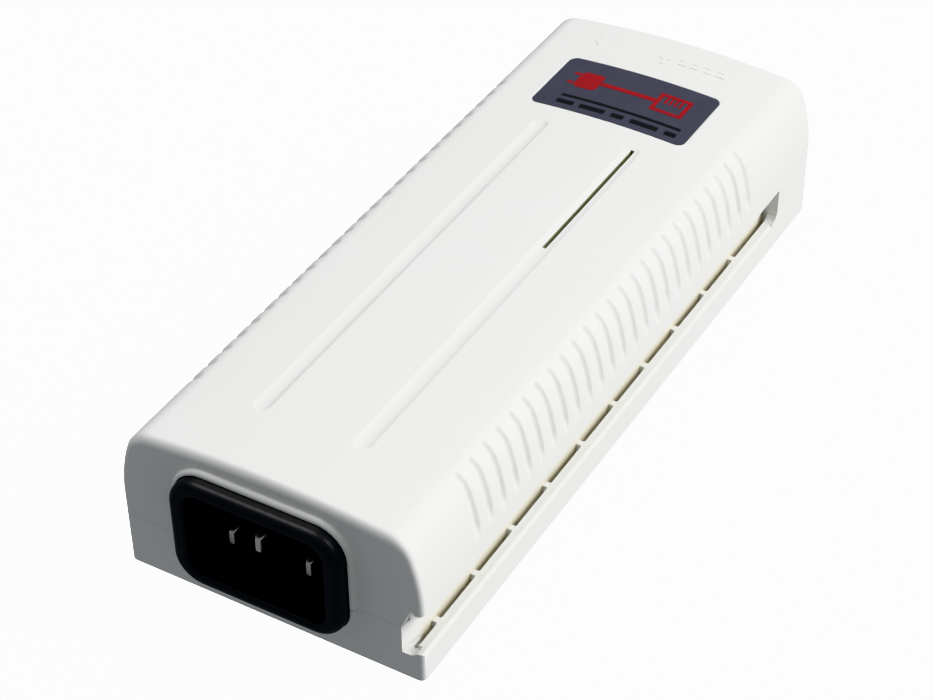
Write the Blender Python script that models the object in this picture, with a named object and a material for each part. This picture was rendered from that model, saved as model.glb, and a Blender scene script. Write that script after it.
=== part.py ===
"""Single-port power-over-Ethernet injector.

A two-part moulded housing (cover and base) around a mains supply board, with a C14 inlet in the
front end (-Y) and two RJ45 jacks with two indicators in the rear end (+Y).

Lengths in this file are millimetres, and MM turns them into Blender's metres. The housing's own frame
has X across, Y along, Z up, with Z = 0 at the lower edge of its side walls. The parent empty lifts
everything by LAND_DROP, so that the world origin is the middle of the face that the injector stands on.
"""
import math

import bpy
import numpy as np

MM = 0.001

# ---- driving dimensions of the housing ----
LENGTH = 140.0            # overall housing length, along Y
WIDTH = 54.5              # overall width, at the rims
TOP_Z = 29.2              # height of the crown of the cover
SIDE_STRAIGHT_Z = 14.5    # the side is upright up to here, then leans in
SIDE_RADIUS = 30.0        # radius of the leaning side
SHOULDER_RADIUS = 5.0     # radius between side and top
CROWN_RADIUS = 185.0      # gentle crown across the top
WALL = 2.0                # moulded wall thickness
END_ROUND = 2.0           # rounding of the edges around the two end faces
LAND_DROP = 0.4           # raised strip under the base that the injector stands on
LAND_WIDTH = 27.0
LAND_X = -2.9
PART_GAP = 0.3            # clearance between touching pieces

# ---- where the cover and the base part ----
PARTING_Z = 10.2          # parting line in the two end walls
SKIRT_Z = 11.6            # lower edge of the cover's side skirts
RIM_Z = 5.8               # top of the base's low outer rims
RIM_THICK = 1.8
FLANGE_OUT_X = 24.4       # outer face of the base's inner flange
FLANGE_IN_X = 22.9
FLANGE_TOP_Z = 15.0
FLOOR_Z = 2.0             # top of the base's floor
CHANNEL_FLOOR_Z = 2.6
CHANNEL_FRONT_Y = -68.3   # the air channel behind each rim starts here
CHANNEL_END_Y = 56.5      # and ends here, where the base wall rises to the skirt
RIB_COUNT = 10
RIB_PITCH = 11.55
RIB_FIRST_Y = -62.3
RIB_THICK = 1.1
NOTCH_X = 23.5            # inner wall of the open notch at the front end of the right channel
NOTCH_SILL_Z = 5.0

# ---- what is moulded into the cover's skin, and the two labels ----
VENT_COUNT = 25           # thin flutes across each shoulder
VENT_FIRST_Y = -53.3
VENT_PITCH = 4.01
VENT_WIDTH = 1.5
VENT_DEPTH = 0.45
VENT_LOW_Z = 15.8
GROOVE_X = (-9.6, 8.6)    # two long grooves in the top
GROOVE_Y = (-57.0, 34.0)
GROOVE_WIDTH = 2.8
GROOVE_DEPTH = 0.45
SLIT_Y = (0.5, 33.0)      # open slit along the right groove's rear part
SLIT_WIDTH = 0.7
LABEL_X = 15.25           # half the width of the name label
LABEL_Y = (38.7, 55.4)
LABEL_RECESS = 0.7
RATING_X = (-14.0, 8.2)   # seat of the rating label under the base
RATING_Y = (12.0, 58.0)

HALF_L = LENGTH / 2
HALF_W = WIDTH / 2

# ---- mains inlet ----
INLET_X = -0.5
INLET_Z = 14.9
SHROUD_W = 30.8
SHROUD_H = 20.8
SHROUD_R = 5.2
SHROUD_OUT = 3.3          # how far the shroud stands out of the end wall
CAVITY_W = 25.0
CAVITY_H = 16.4
CAVITY_R = 3.0
CAVITY_DEPTH = 17.0
INLET_BODY_BACK = 20.5    # body depth behind the outer face of the end wall

# ---- jacks and indicators in the rear end ----
JACK_X = (-12.8, 4.7)
JACK_NAMES = ("in", "out")
JACK_W = 16.0
JACK_H = 13.4
JACK_DEPTH = 18.0
INDICATOR_X = 18.0
INDICATOR_Z = (12.9, 18.5)
INDICATOR_R = 1.5

# ---- circuit board ----
BOARD_Z = 4.9
BOARD_THICK = 1.6
BOARD_HALF_W = 21.8
BOARD_Y = (-47.0, 66.5)
BOARD_TOP = BOARD_Z + BOARD_THICK
SEAT = BOARD_TOP + PART_GAP     # parts stand this high over the board's face

CASE_SCREWS = ((-18.8, -56.5), (18.8, -56.5), (-18.8, 43.0), (18.8, 43.0))
BOARD_SCREWS = ((-18.5, -43.0), (18.5, -43.0), (-18.5, 32.0), (18.5, 32.0))

MATERIALS = {             # sRGB hex, roughness, metallic
    "housing_white": ("E9EAE6", 0.45, 0.0),
    "label_slate": ("4B4B58", 0.35, 0.0),
    "label_paper": ("D8D8D4", 0.5, 0.0),
    "inlet_black": ("141416", 0.4, 0.0),
    "plated_brass": ("C9CACC", 0.25, 1.0),
    "board_green": ("1F5A38", 0.5, 0.0),
    "sheet_grey": ("9A9C98", 0.7, 0.0),
    "part_black": ("1B1B1D", 0.5, 0.0),
    "part_yellow": ("D9B23A", 0.5, 0.0),
    "part_blue": ("2F5D9B", 0.45, 0.0),
    "part_brown": ("7B4A2A", 0.5, 0.0),
    "part_clear": ("C8D2CC", 0.2, 0.0),
    "ferrite": ("3A3A3D", 0.6, 0.0),
    "copper": ("B87333", 0.35, 1.0),
    "tape_yellow": ("D8C24A", 0.5, 0.0),
    "aluminium": ("B9BCC0", 0.4, 1.0),
    "steel": ("A6A8AB", 0.35, 1.0),
    "jack_plastic": ("202124", 0.45, 0.0),
    "gold": ("D8B45A", 0.25, 1.0),
    "led_green": ("4FB86A", 0.3, 0.0),
}

housing_empty = None


def clear_scene():
    for obj in list(bpy.data.objects):
        bpy.data.objects.remove(obj, do_unlink=True)


def linear(hex_colour):
    """sRGB hex to linear RGBA."""
    values = [int(hex_colour[i:i + 2], 16) / 255 for i in (0, 2, 4)]
    return [v / 12.92 if v <= 0.04045 else ((v + 0.055) / 1.055) ** 2.4 for v in values] + [1.0]


def material(name):
    found = bpy.data.materials.get(name)
    if found:
        return found
    colour, roughness, metallic = MATERIALS[name]
    made = bpy.data.materials.new(name)
    made.use_nodes = True
    shader = made.node_tree.nodes["Principled BSDF"]
    shader.inputs["Base Color"].default_value = linear(colour)
    shader.inputs["Roughness"].default_value = roughness
    shader.inputs["Metallic"].default_value = metallic
    return made


# ---- outlines: lists of (a, b) points, counter-clockwise ----

def arc(centre, radius, start, end, steps):
    """Points on a circular arc, angles in degrees, both ends included."""
    angles = np.radians(np.linspace(start, end, steps + 1))
    return [(centre[0] + radius * math.cos(a), centre[1] + radius * math.sin(a)) for a in angles]


def rounded_rectangle(cx, cz, width, height, radius, steps=5):
    points = []
    for sx, sz, start in ((1, 1, 0), (-1, 1, 90), (-1, -1, 180), (1, -1, 270)):
        corner = (cx + sx * (width / 2 - radius), cz + sz * (height / 2 - radius))
        points += arc(corner, radius, start, start + 90, steps)
    return points


def rectangle(x0, z0, x1, z1):
    return [(x0, z0), (x1, z0), (x1, z1), (x0, z1)]


def shoulder_centre():
    """Centre of the shoulder arc, tangent inside both the side arc and the crown arc."""
    side = np.array([HALF_W - SIDE_RADIUS, SIDE_STRAIGHT_Z])
    crown = np.array([0.0, TOP_Z - CROWN_RADIUS])
    reach_side = SIDE_RADIUS - SHOULDER_RADIUS
    reach_crown = CROWN_RADIUS - SHOULDER_RADIUS
    apart = side - crown
    distance = np.hypot(*apart)
    along = (reach_crown ** 2 - reach_side ** 2 + distance ** 2) / (2 * distance)
    off = math.sqrt(reach_crown ** 2 - along ** 2)
    unit = apart / distance
    normal = np.array([unit[1], -unit[0]])
    return crown + along * unit + off * normal


def housing_outline(inset=0.0, bottom=0.0):
    """Cross-section of the closed housing: upright side, leaning arc, shoulder arc and crown, mirrored.

    inset moves every face inwards by the same distance; bottom is the height of the lower edge.
    """
    shoulder = shoulder_centre()
    side = np.array([HALF_W - SIDE_RADIUS, SIDE_STRAIGHT_Z])
    crown = np.array([0.0, TOP_Z - CROWN_RADIUS])
    lean = math.degrees(math.atan2(*(shoulder - side)[::-1]))
    rise = math.degrees(math.atan2(*(shoulder - crown)[::-1]))
    half = [(HALF_W - inset, bottom)]
    half += arc(side, SIDE_RADIUS - inset, 0.0, lean, 3)
    half += arc(shoulder, SHOULDER_RADIUS - inset, lean, rise, 4)[1:]
    half += arc(crown, CROWN_RADIUS - inset, rise, 90.0, 3)[1:]
    return half + [(-x, z) for x, z in reversed(half[:-1])]


# ---- solids ----

def add_mesh(name, vertices, faces, finish, guide=False):
    """One object from points in millimetres, riding on the housing's empty unless it is a guide."""
    mesh = bpy.data.meshes.new(name)
    mesh.from_pydata((np.array(vertices) * MM).tolist(), [], faces)
    mesh.validate()
    made = bpy.data.objects.new(name, mesh)
    bpy.context.scene.collection.objects.link(made)
    made.parent = housing_empty
    if guide:
        made.hide_render = True
        made.display_type = "WIRE"
    else:
        mesh.materials.append(material(finish))
    return made


def loft_data(rings, first=0):
    """Vertices and outward faces of a stack of rings with equal point counts, closed at both ends.

    Each ring is counter-clockwise seen from the side that the stack grows towards.
    """
    count = len(rings[0])
    vertices = [point for ring in rings for point in ring]
    faces = [[first + i for i in reversed(range(count))]]
    for level in range(len(rings) - 1):
        low = first + level * count
        for i in range(count):
            j = (i + 1) % count
            faces.append([low + i, low + j, low + count + j, low + count + i])
    top = first + (len(rings) - 1) * count
    faces.append([top + i for i in range(count)])
    return vertices, faces


def placed(outline, height, axis):
    """An outline's points in space: (a, b) across the axis, height along it."""
    if axis == "Z":
        return [(a, b, height) for a, b in outline]
    if axis == "Y":
        return [(a, height, b) for a, b in reversed(outline)]
    return [(height, a, b) for a, b in outline]


def solids(name, pieces, finish="", guide=False):
    """One object of several lofted pieces, each a list of (outline, height) along its axis."""
    vertices = []
    faces = []
    for axis, sections in pieces:
        rings = [placed(outline, height, axis) for outline, height in sections]
        more_vertices, more_faces = loft_data(rings, len(vertices))
        vertices += more_vertices
        faces += more_faces
    return add_mesh(name, vertices, faces, finish, guide)


def prism(outline, start, end, axis="Y"):
    return axis, [(outline, start), (outline, end)]


def box(x0, x1, y0, y1, z0, z1):
    return prism(rectangle(x0, y0, x1, y1), z0, z1, "Z")


def rod(radius, centre, start, end, axis="Z", steps=20):
    angles = np.linspace(0, 2 * math.pi, steps, endpoint=False)
    outline = [(centre[0] + radius * math.cos(a), centre[1] + radius * math.sin(a)) for a in angles]
    return prism(outline, start, end, axis)


def turned(profile, centre, axis="Z", steps=20):
    """A solid of revolution from (radius, height) pairs, bottom first."""
    angles = np.linspace(0, 2 * math.pi, steps, endpoint=False)
    sections = []
    for radius, height in profile:
        ring = [(centre[0] + radius * math.cos(a), centre[1] + radius * math.sin(a)) for a in angles]
        sections.append((ring, height))
    return axis, sections


def boolean(target, name, pieces, operation="DIFFERENCE"):
    """Cut pieces out of a target, join them to it or keep what they share. Pieces never overlap."""
    tool = solids(name, pieces, guide=True)
    modifier = target.modifiers.new(name, "BOOLEAN")
    modifier.operation = operation
    modifier.solver = "EXACT"
    modifier.object = tool
    return tool


def mirrored(pieces):
    """The same pieces and their mirror images in X, for outlines across Y or Z."""
    both = list(pieces)
    for axis, sections in pieces:
        both.append((axis, [([(-a, b) for a, b in reversed(outline)], height) for outline, height in sections]))
    return both


def round_shading(obj, angle=40.0):
    obj.data.shade_smooth()
    obj.data.set_sharp_from_angle(angle=math.radians(angle))
    return obj


# ---- housing ----

def end_rounded(inset=0.0, bottom=0.0, reach=HALF_L, rounding=END_ROUND):
    """The housing's closed outer form along Y, with its end edges rounded in two steps."""
    sections = []
    for turn in (0.0, 35.0, 90.0):
        shrink = rounding * (1 - math.sin(math.radians(turn)))
        back = rounding * (1 - math.cos(math.radians(turn)))
        sections.append((housing_outline(inset + shrink, bottom), -reach + back))
    sections += [(outline, -y) for outline, y in reversed(sections)]
    return "Y", sections


def inlet_hole(gap=PART_GAP):
    return rounded_rectangle(INLET_X, INLET_Z, SHROUD_W + 2 * gap, SHROUD_H + 2 * gap, SHROUD_R + gap)


def jack_holes():
    holes = []
    for x in JACK_X:
        outline = rectangle(x - JACK_W / 2 - PART_GAP, BOARD_TOP, x + JACK_W / 2 + PART_GAP,
                            SEAT + JACK_H + PART_GAP)
        holes.append(prism(outline, HALF_L - 6, HALF_L + 2))
    return holes


def vent_outline():
    """Thin crescent across the shoulder, from the skirt to the edge of the top."""
    shoulder = shoulder_centre()
    deep = SHOULDER_RADIUS - VENT_DEPTH
    inner = [(HALF_W - VENT_DEPTH - 0.1, VENT_LOW_Z)]
    inner += arc((HALF_W - SIDE_RADIUS, SIDE_STRAIGHT_Z), SIDE_RADIUS - VENT_DEPTH, 8.0, 19.5, 2)
    inner += arc(shoulder, deep, 35.0, 60.0, 2)
    outer = [(shoulder[0] + 5.2, shoulder[1] + 6.5), (HALF_W + 1.0, shoulder[1]), (HALF_W + 1.0, VENT_LOW_Z)]
    return [inner[0]] + outer[::-1] + inner[:0:-1]


def slot_outline(cx, y0, y1, width, steps=4):
    r = width / 2
    return arc((cx, y1 - r), r, 0, 180, steps) + arc((cx, y0 + r), r, 180, 360, steps)


def label_outline(grow=0.0):
    middle = sum(LABEL_Y) / 2
    return rounded_rectangle(0, middle, 2 * (LABEL_X + grow), LABEL_Y[1] - LABEL_Y[0] + 2 * grow, 1.5 + grow, 3)


def crown_z(x, drop=0.0):
    return TOP_Z - CROWN_RADIUS + math.sqrt((CROWN_RADIUS - drop) ** 2 - x * x)


def crowned_strip(drop, half_width, y0, y1, up, steps=6):
    """A cutter whose floor follows the crown, drop below it, reaching up above the cover."""
    xs = np.linspace(-half_width, half_width, steps + 1)
    floor = [(x, crown_z(x, drop)) for x in xs]
    return prism(floor + [(half_width, TOP_Z + up), (-half_width, TOP_Z + up)], y0, y1)


def build_cover():
    cover = solids("top_cover", [end_rounded()], "housing_white")
    cavity = end_rounded(inset=WALL, bottom=-1.0, reach=HALF_L - WALL, rounding=0.6)
    boolean(cover, "cover_cavity", [cavity])
    boolean(cover, "cover_below", [box(-HALF_W - 5, HALF_W + 5, -HALF_L - 5, HALF_L + 5, -5, PARTING_Z + 0.15)])
    skirt = rectangle(FLANGE_OUT_X - PART_GAP, 0, HALF_W + 5, SKIRT_Z)
    notch = [(NOTCH_X, 0), (HALF_W + 5, 0), (HALF_W + 5, 13.6), (26.0, 13.6), (25.2, 14.5), (NOTCH_X, PARTING_Z)]
    boolean(cover, "cover_skirt_edge", mirrored([prism(skirt, -HALF_L + WALL + 0.4, HALF_L + 5)]))
    boolean(cover, "cover_front_notch", [prism(notch, -HALF_L - 5, -HALF_L + WALL + 0.7)])
    boolean(cover, "cover_inlet_hole", [prism(inlet_hole(), -HALF_L - 5, -HALF_L + 6)])
    boolean(cover, "cover_jack_holes", jack_holes())
    vents = [prism(vent_outline(), VENT_FIRST_Y + VENT_PITCH * k - VENT_WIDTH / 2,
                   VENT_FIRST_Y + VENT_PITCH * k + VENT_WIDTH / 2) for k in range(VENT_COUNT)]
    boolean(cover, "cover_vents", mirrored(vents))
    grooves = [prism(slot_outline(x, *GROOVE_Y, GROOVE_WIDTH), crown_z(x) - GROOVE_DEPTH, TOP_Z + 3, "Z")
               for x in GROOVE_X]
    boolean(cover, "cover_grooves", grooves)
    slit = rectangle(GROOVE_X[1] - SLIT_WIDTH / 2, SLIT_Y[0], GROOVE_X[1] + SLIT_WIDTH / 2, SLIT_Y[1])
    boolean(cover, "cover_slit", [prism(slit, TOP_Z - 5, TOP_Z + 2, "Z")])
    recess = solids("cover_label_recess", [prism(label_outline(PART_GAP), TOP_Z - 4, TOP_Z + 3, "Z")], guide=True)
    boolean(recess, "label_recess_floor",
            [crowned_strip(LABEL_RECESS, LABEL_X + 4, LABEL_Y[0] - 4, LABEL_Y[1] + 4, 6)], "INTERSECT")
    cut = cover.modifiers.new("label_recess", "BOOLEAN")
    cut.solver = "EXACT"
    cut.object = recess
    for level, z in enumerate(INDICATOR_Z):
        boolean(cover, f"cover_indicator_hole_{level + 1}",
                [rod(INDICATOR_R + PART_GAP, (INDICATOR_X, z), HALF_L - 5, HALF_L + 5, "Y", 16)])
    for number, (x, y) in enumerate(CASE_SCREWS, 1):
        boolean(cover, f"cover_boss_{number}", [rod(3.0, (x, y), 9.4, 26.4)], "UNION")
        boolean(cover, f"cover_pilot_{number}", [rod(1.55, (x, y), 9.0, 19.0, "Z", 12)])
    return cover


def channel_slots():
    """Open stretches of an air channel, between the ribs that tie the rim to the flange."""
    ribs = [RIB_FIRST_Y + RIB_PITCH * k for k in range(RIB_COUNT)]
    edges = [CHANNEL_FRONT_Y] + [y + s * RIB_THICK / 2 for y in ribs for s in (-1, 1)] + [CHANNEL_END_Y]
    outline = rectangle(FLANGE_OUT_X, CHANNEL_FLOOR_Z, HALF_W - RIM_THICK, RIM_Z + 0.2)
    return [prism(outline, edges[i], edges[i + 1]) for i in range(0, len(edges), 2)]


def build_base():
    base = solids("bottom_base", [end_rounded()], "housing_white")
    reach = HALF_L + 5
    boolean(base, "base_above", [box(-HALF_W - 5, HALF_W + 5, -reach, reach, FLANGE_TOP_Z, TOP_Z + 5)])
    middle = box(-FLANGE_IN_X, FLANGE_IN_X, -reach, reach, PARTING_Z - 0.15, TOP_Z)
    boolean(base, "base_above_middle", [middle])
    end_clear = HALF_L - WALL - 0.5
    boolean(base, "base_above_ends", [box(-FLANGE_OUT_X, FLANGE_OUT_X, low, high, PARTING_Z - 0.15, TOP_Z + 1)
                                      for low, high in ((-reach, -end_clear), (end_clear, reach))])
    boolean(base, "base_inside", [box(-FLANGE_IN_X, FLANGE_IN_X, -HALF_L + WALL, HALF_L - WALL,
                                      FLOOR_Z, TOP_Z + 2)])
    low_rim = prism(rectangle(FLANGE_OUT_X, RIM_Z, HALF_W + 5, TOP_Z), CHANNEL_FRONT_Y, CHANNEL_END_Y)
    left_corner = box(-HALF_W - 5, 0.2 - FLANGE_OUT_X, -reach, CHANNEL_FRONT_Y, PARTING_Z - 0.15, TOP_Z)
    high_wall = prism(rectangle(FLANGE_OUT_X, SKIRT_Z - PART_GAP, HALF_W + 5, TOP_Z), CHANNEL_END_Y - 1, reach)
    boolean(base, "base_low_rims", mirrored([low_rim]))
    boolean(base, "base_high_walls", mirrored([high_wall]))
    boolean(base, "base_channels", mirrored(channel_slots()))
    notch = [(NOTCH_X, NOTCH_SILL_Z + 0.8), (NOTCH_X + 0.8, NOTCH_SILL_Z), (HALF_W - RIM_THICK, NOTCH_SILL_Z),
             (HALF_W - RIM_THICK + 0.6, RIM_Z), (HALF_W + 5, RIM_Z), (HALF_W + 5, TOP_Z), (NOTCH_X, TOP_Z)]
    boolean(base, "base_front_notch", [prism(notch, -reach, CHANNEL_FRONT_Y + 0.01)])
    boolean(base, "base_above_left_corner", [left_corner])
    boolean(base, "base_inlet_hole", [prism(inlet_hole(), -HALF_L - 5, -HALF_L + 6)])
    boolean(base, "base_jack_holes", jack_holes())
    land = box(LAND_X - LAND_WIDTH / 2, LAND_X + LAND_WIDTH / 2, -HALF_L + 0.8, HALF_L - 0.8, -LAND_DROP, 1.0)
    boolean(base, "base_land", [land], "UNION")
    boolean(base, "base_label_recess", [box(*RATING_X, *RATING_Y, -2.0, -LAND_DROP + 0.6)])
    for number, (x, y) in enumerate(CASE_SCREWS, 1):
        boolean(base, f"base_boss_{number}", [rod(3.4, (x, y), 1.0, 9.0)], "UNION")
        boolean(base, f"base_screw_hole_{number}",
                [turned([(3.0, -1.0), (3.0, 3.6), (1.8, 3.6), (1.8, 10.0)], (x, y), "Z", 20)])
    for number, (x, y) in enumerate(BOARD_SCREWS, 1):
        boolean(base, f"base_standoff_{number}", [rod(2.6, (x, y), 1.0, BOARD_Z - PART_GAP, "Z", 16)], "UNION")
        boolean(base, f"base_standoff_hole_{number}", [rod(1.2, (x, y), 1.4, 6.0, "Z", 12)])
    return base


def build_labels():
    name_label = solids("name_label", [prism(label_outline(), TOP_Z - 4, TOP_Z + 3, "Z")], "label_slate")
    xs = np.linspace(-LABEL_X - 2, LABEL_X + 2, 7)
    band = [(x, crown_z(x, 0.4)) for x in xs] + [(x, crown_z(x, 0.1)) for x in xs[::-1]]
    boolean(name_label, "name_label_band", [prism(band, LABEL_Y[0] - 3, LABEL_Y[1] + 3)], "INTERSECT")
    solids("rating_label", [box(RATING_X[0] + PART_GAP, RATING_X[1] - PART_GAP, RATING_Y[0] + PART_GAP,
                                RATING_Y[1] - PART_GAP, -LAND_DROP + 0.1, -LAND_DROP + 0.3)], "label_paper")


# ---- mains inlet ----

def build_inlet():
    front = -HALF_L - SHROUD_OUT
    outer = []
    for turn in (0.0, 45.0, 90.0):
        shrink = 1.4 * (1 - math.sin(math.radians(turn)))
        back = 1.4 * (1 - math.cos(math.radians(turn)))
        outline = rounded_rectangle(INLET_X, INLET_Z, SHROUD_W - 2 * shrink, SHROUD_H - 2 * shrink,
                                    SHROUD_R - shrink)
        outer.append((outline, front + back))
    body_w = CAVITY_W + 3.0
    behind = rounded_rectangle(INLET_X, INLET_Z, body_w, CAVITY_H + 3.0, CAVITY_R + 1.5)
    step_y = -HALF_L + WALL + 1.5
    full = rounded_rectangle(INLET_X, INLET_Z, SHROUD_W, SHROUD_H, SHROUD_R)
    sections = outer + [(full, step_y), (behind, step_y), (behind, -HALF_L + INLET_BODY_BACK)]
    shell = solids("inlet_shell", [("Y", sections)], "inlet_black")
    cavity = rounded_rectangle(INLET_X, INLET_Z, CAVITY_W, CAVITY_H, CAVITY_R)
    boolean(shell, "inlet_cavity", [prism(cavity, front - 2, front + CAVITY_DEPTH)])
    blade_back = -HALF_L + INLET_BODY_BACK + 4.0
    blades = (("line", -7.0, -2.0, -68.8), ("earth", 0.0, 2.0, -71.6), ("neutral", 7.0, -2.0, -68.8))
    slots = []
    for name, dx, dz, tip in blades:
        x = INLET_X + dx
        z = INLET_Z + dz
        slots.append(prism(rectangle(x - 1.3, z - 2.3, x + 1.3, z + 2.3), front + CAVITY_DEPTH - 1, blade_back))
        small = rectangle(x - 0.55, z - 1.4, x + 0.55, z + 1.4)
        large = rectangle(x - 1.0, z - 2.0, x + 1.0, z + 2.0)
        solids(f"inlet_pin_{name}", [("Y", [(small, tip), (large, tip + 1.2), (large, blade_back)])],
               "plated_brass")
    boolean(shell, "inlet_blade_slots", slots)
    return blade_back


def lead(name, points, finish):
    """An insulated lead: a smooth curve through its points with a round section."""
    curve = bpy.data.curves.new(name, "CURVE")
    curve.dimensions = "3D"
    curve.bevel_depth = 0.8 * MM
    curve.bevel_resolution = 1
    curve.use_fill_caps = True
    spline = curve.splines.new("POLY")
    route = smooth_route(np.array(points), 5)
    spline.points.add(len(route) - 1)
    for index, point in enumerate(route):
        spline.points[index].co = (*(point * MM), 1.0)
    made = bpy.data.objects.new(name, curve)
    bpy.context.scene.collection.objects.link(made)
    made.parent = housing_empty
    curve.materials.append(material(finish))


def smooth_route(points, steps):
    """Catmull-Rom curve through the points."""
    padded = np.vstack([2 * points[0] - points[1], points, 2 * points[-1] - points[-2]])
    t = np.linspace(0, 1, steps, endpoint=False)[:, None]
    stretches = []
    for a, b, c, d in zip(padded, padded[1:], padded[2:], padded[3:]):
        stretches.append(0.5 * (2 * b + (c - a) * t + (2 * a - 5 * b + 4 * c - d) * t ** 2
                                + (3 * b - a - 3 * c + d) * t ** 3))
    return np.vstack(stretches + [points[-1:]])


def build_leads(blade_back):
    start_y = blade_back + PART_GAP
    for name, dx, dz, finish in (("line", -7.0, -2.0, "part_brown"), ("earth", 0.0, 2.0, "led_green"),
                                 ("neutral", 7.0, -2.0, "part_blue")):
        x = INLET_X + dx
        z = INLET_Z + dz
        lead(f"inlet_lead_{name}", [(x, start_y, z), (x, start_y + 1.6, z - 0.6), (x, start_y + 2.3, z - 3.0),
                                    (x, start_y + 2.3, SEAT)], finish)


# ---- board and what stands on it ----

def build_board():
    y0, y1 = BOARD_Y
    board = solids("circuit_board", [box(-BOARD_HALF_W, BOARD_HALF_W, y0, y1, BOARD_Z, BOARD_TOP)], "board_green")
    boolean(board, "board_case_boss_holes", [rod(4.2, spot, 3.0, 8.0, "Z", 16) for spot in CASE_SCREWS[2:]])
    boolean(board, "board_screw_holes", [rod(1.6, spot, 3.0, 8.0, "Z", 12) for spot in BOARD_SCREWS])
    sheet_z = FLOOR_Z + PART_GAP
    sheet = solids("insulation_sheet", [box(-20.6, 20.6, -38.0, 26.0, sheet_z, sheet_z + 0.4)], "sheet_grey")
    return board, sheet


def screw(name, spot, head_low, head_high, tip, head_r, shaft_r, finish="steel"):
    """A screw as one turned solid, with its head at whichever end is wider."""
    if tip > head_high:
        profile = [(head_r * 0.75, head_low), (head_r, head_low + 0.6), (head_r, head_high), (shaft_r, head_high),
                   (shaft_r, tip - 1.2), (shaft_r * 0.3, tip)]
    else:
        profile = [(shaft_r * 0.3, tip), (shaft_r, tip + 0.8), (shaft_r, head_low), (head_r, head_low),
                   (head_r, head_high - 0.5), (head_r * 0.75, head_high)]
    made = solids(name, [turned(profile, spot, "Z", 14)], finish)
    return round_shading(made)


def build_screws():
    for number, spot in enumerate(CASE_SCREWS, 1):
        screw(f"case_screw_{number}", spot, 1.0, 3.3, 17.0, 2.6, 1.25)
    for number, spot in enumerate(BOARD_SCREWS, 1):
        screw(f"board_screw_{number}", spot, SEAT, SEAT + 1.6, 2.0, 2.3, 0.9)


def flat_block(name, x, y, width, length, height, finish, bevel=0.5):
    """A moulded component on the board with its upper edges chamfered."""
    low = rectangle(x - width / 2, y - length / 2, x + width / 2, y + length / 2)
    high = rectangle(x - width / 2 + bevel, y - length / 2 + bevel, x + width / 2 - bevel, y + length / 2 - bevel)
    top = SEAT + height
    return solids(name, [("Z", [(low, SEAT), (low, top - bevel), (high, top)])], finish)


def capacitor(name, x, y, radius, height):
    profile = [(radius - 0.4, SEAT), (radius, SEAT + 0.5), (radius, SEAT + height - 0.6),
               (radius - 0.6, SEAT + height)]
    return round_shading(solids(name, [turned(profile, (x, y), "Z", 24)], "part_black"))


def disc(name, x, y, radius, thick, finish):
    """A round dipped disc standing on edge, its face towards Y."""
    z = SEAT + radius
    profile = [(radius - 0.8, y - thick / 2), (radius, y - thick / 4), (radius, y + thick / 4),
               (radius - 0.8, y + thick / 2)]
    axis, sections = turned(profile, (x, z), "Y", 20)
    return round_shading(solids(name, [(axis, sections)], finish))


def build_choke(x, y):
    """A toroidal core lying flat with one winding on each half."""
    centre_z = SEAT + 5.6
    core = [(7.6, centre_z - 3.0), (7.6, centre_z + 3.0)]
    ring = solids("choke_core", [turned(core, (x, y), "Z", 28)], "ferrite")
    boolean(ring, "choke_core_hole", [rod(4.0, (x, y), centre_z - 5, centre_z + 5, "Z", 20)])
    for side, name in ((-1, "left"), (1, "right")):
        middle = 90 - side * 90
        outer = arc((x, y), 9.2, middle - 55, middle + 55, 8)
        inner = arc((x, y), 2.4, middle + 55, middle - 55, 4)
        winding = solids(f"choke_winding_{name}", [prism(outer + inner, centre_z - 4.6, centre_z + 4.6, "Z")],
                         "copper")
        gap_outer = arc((x, y), 7.9, middle - 70, middle + 70, 10)
        gap_inner = arc((x, y), 3.7, middle + 70, middle - 70, 6)
        boolean(winding, f"choke_winding_{name}_space",
                [prism(gap_outer + gap_inner, centre_z - 3.3, centre_z + 3.3, "Z")])


def build_transformer(x, y):
    """Two E-shaped core halves around a bobbin that carries the winding; the legs run along Y."""
    width, depth, height = 22.0, 20.0, 6.5
    centre_z = SEAT + 9.6
    low, high = centre_z - height / 2, centre_z + height / 2
    for name, side in (("front", -1), ("rear", 1)):
        outer = y + side * depth / 2
        split = y + side * 0.15
        back = outer - side * 3.5
        leg = 3.2
        right = x + width / 2
        left = x - width / 2
        outline = [(left, split), (left + leg, split), (left + leg, back), (x - 3.2, back), (x - 3.2, split),
                   (x + 3.2, split), (x + 3.2, back), (right - leg, back), (right - leg, split), (right, split),
                   (right, outer), (left, outer)]
        if side < 0:
            outline = outline[::-1]
        solids(f"transformer_core_{name}", [prism(outline, low, high, "Z")], "ferrite")
    bobbin = solids("transformer_bobbin", [("Y", [
        (rectangle(x - 7.4, centre_z - 7.6, x + 7.4, centre_z + 7.6), y - 6.0),
        (rectangle(x - 7.4, centre_z - 7.6, x + 7.4, centre_z + 7.6), y - 5.2),
        (rectangle(x - 4.3, centre_z - 4.5, x + 4.3, centre_z + 4.5), y - 5.2),
        (rectangle(x - 4.3, centre_z - 4.5, x + 4.3, centre_z + 4.5), y + 5.2),
        (rectangle(x - 7.4, centre_z - 7.6, x + 7.4, centre_z + 7.6), y + 5.2),
        (rectangle(x - 7.4, centre_z - 7.6, x + 7.4, centre_z + 7.6), y + 6.0)])], "part_black")
    boolean(bobbin, "bobbin_tunnel", [prism(rectangle(x - 3.5, low - 0.3, x + 3.5, high + 0.3), y - 9, y + 9)])
    winding = solids("transformer_winding", [prism(rounded_rectangle(x, centre_z, 14.0, 14.4, 1.5, 3),
                                                   y - 4.9, y + 4.9)], "tape_yellow")
    boolean(winding, "winding_space", [prism(rectangle(x - 4.6, centre_z - 4.8, x + 4.6, centre_z + 4.8),
                                             y - 8, y + 8)])


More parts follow.
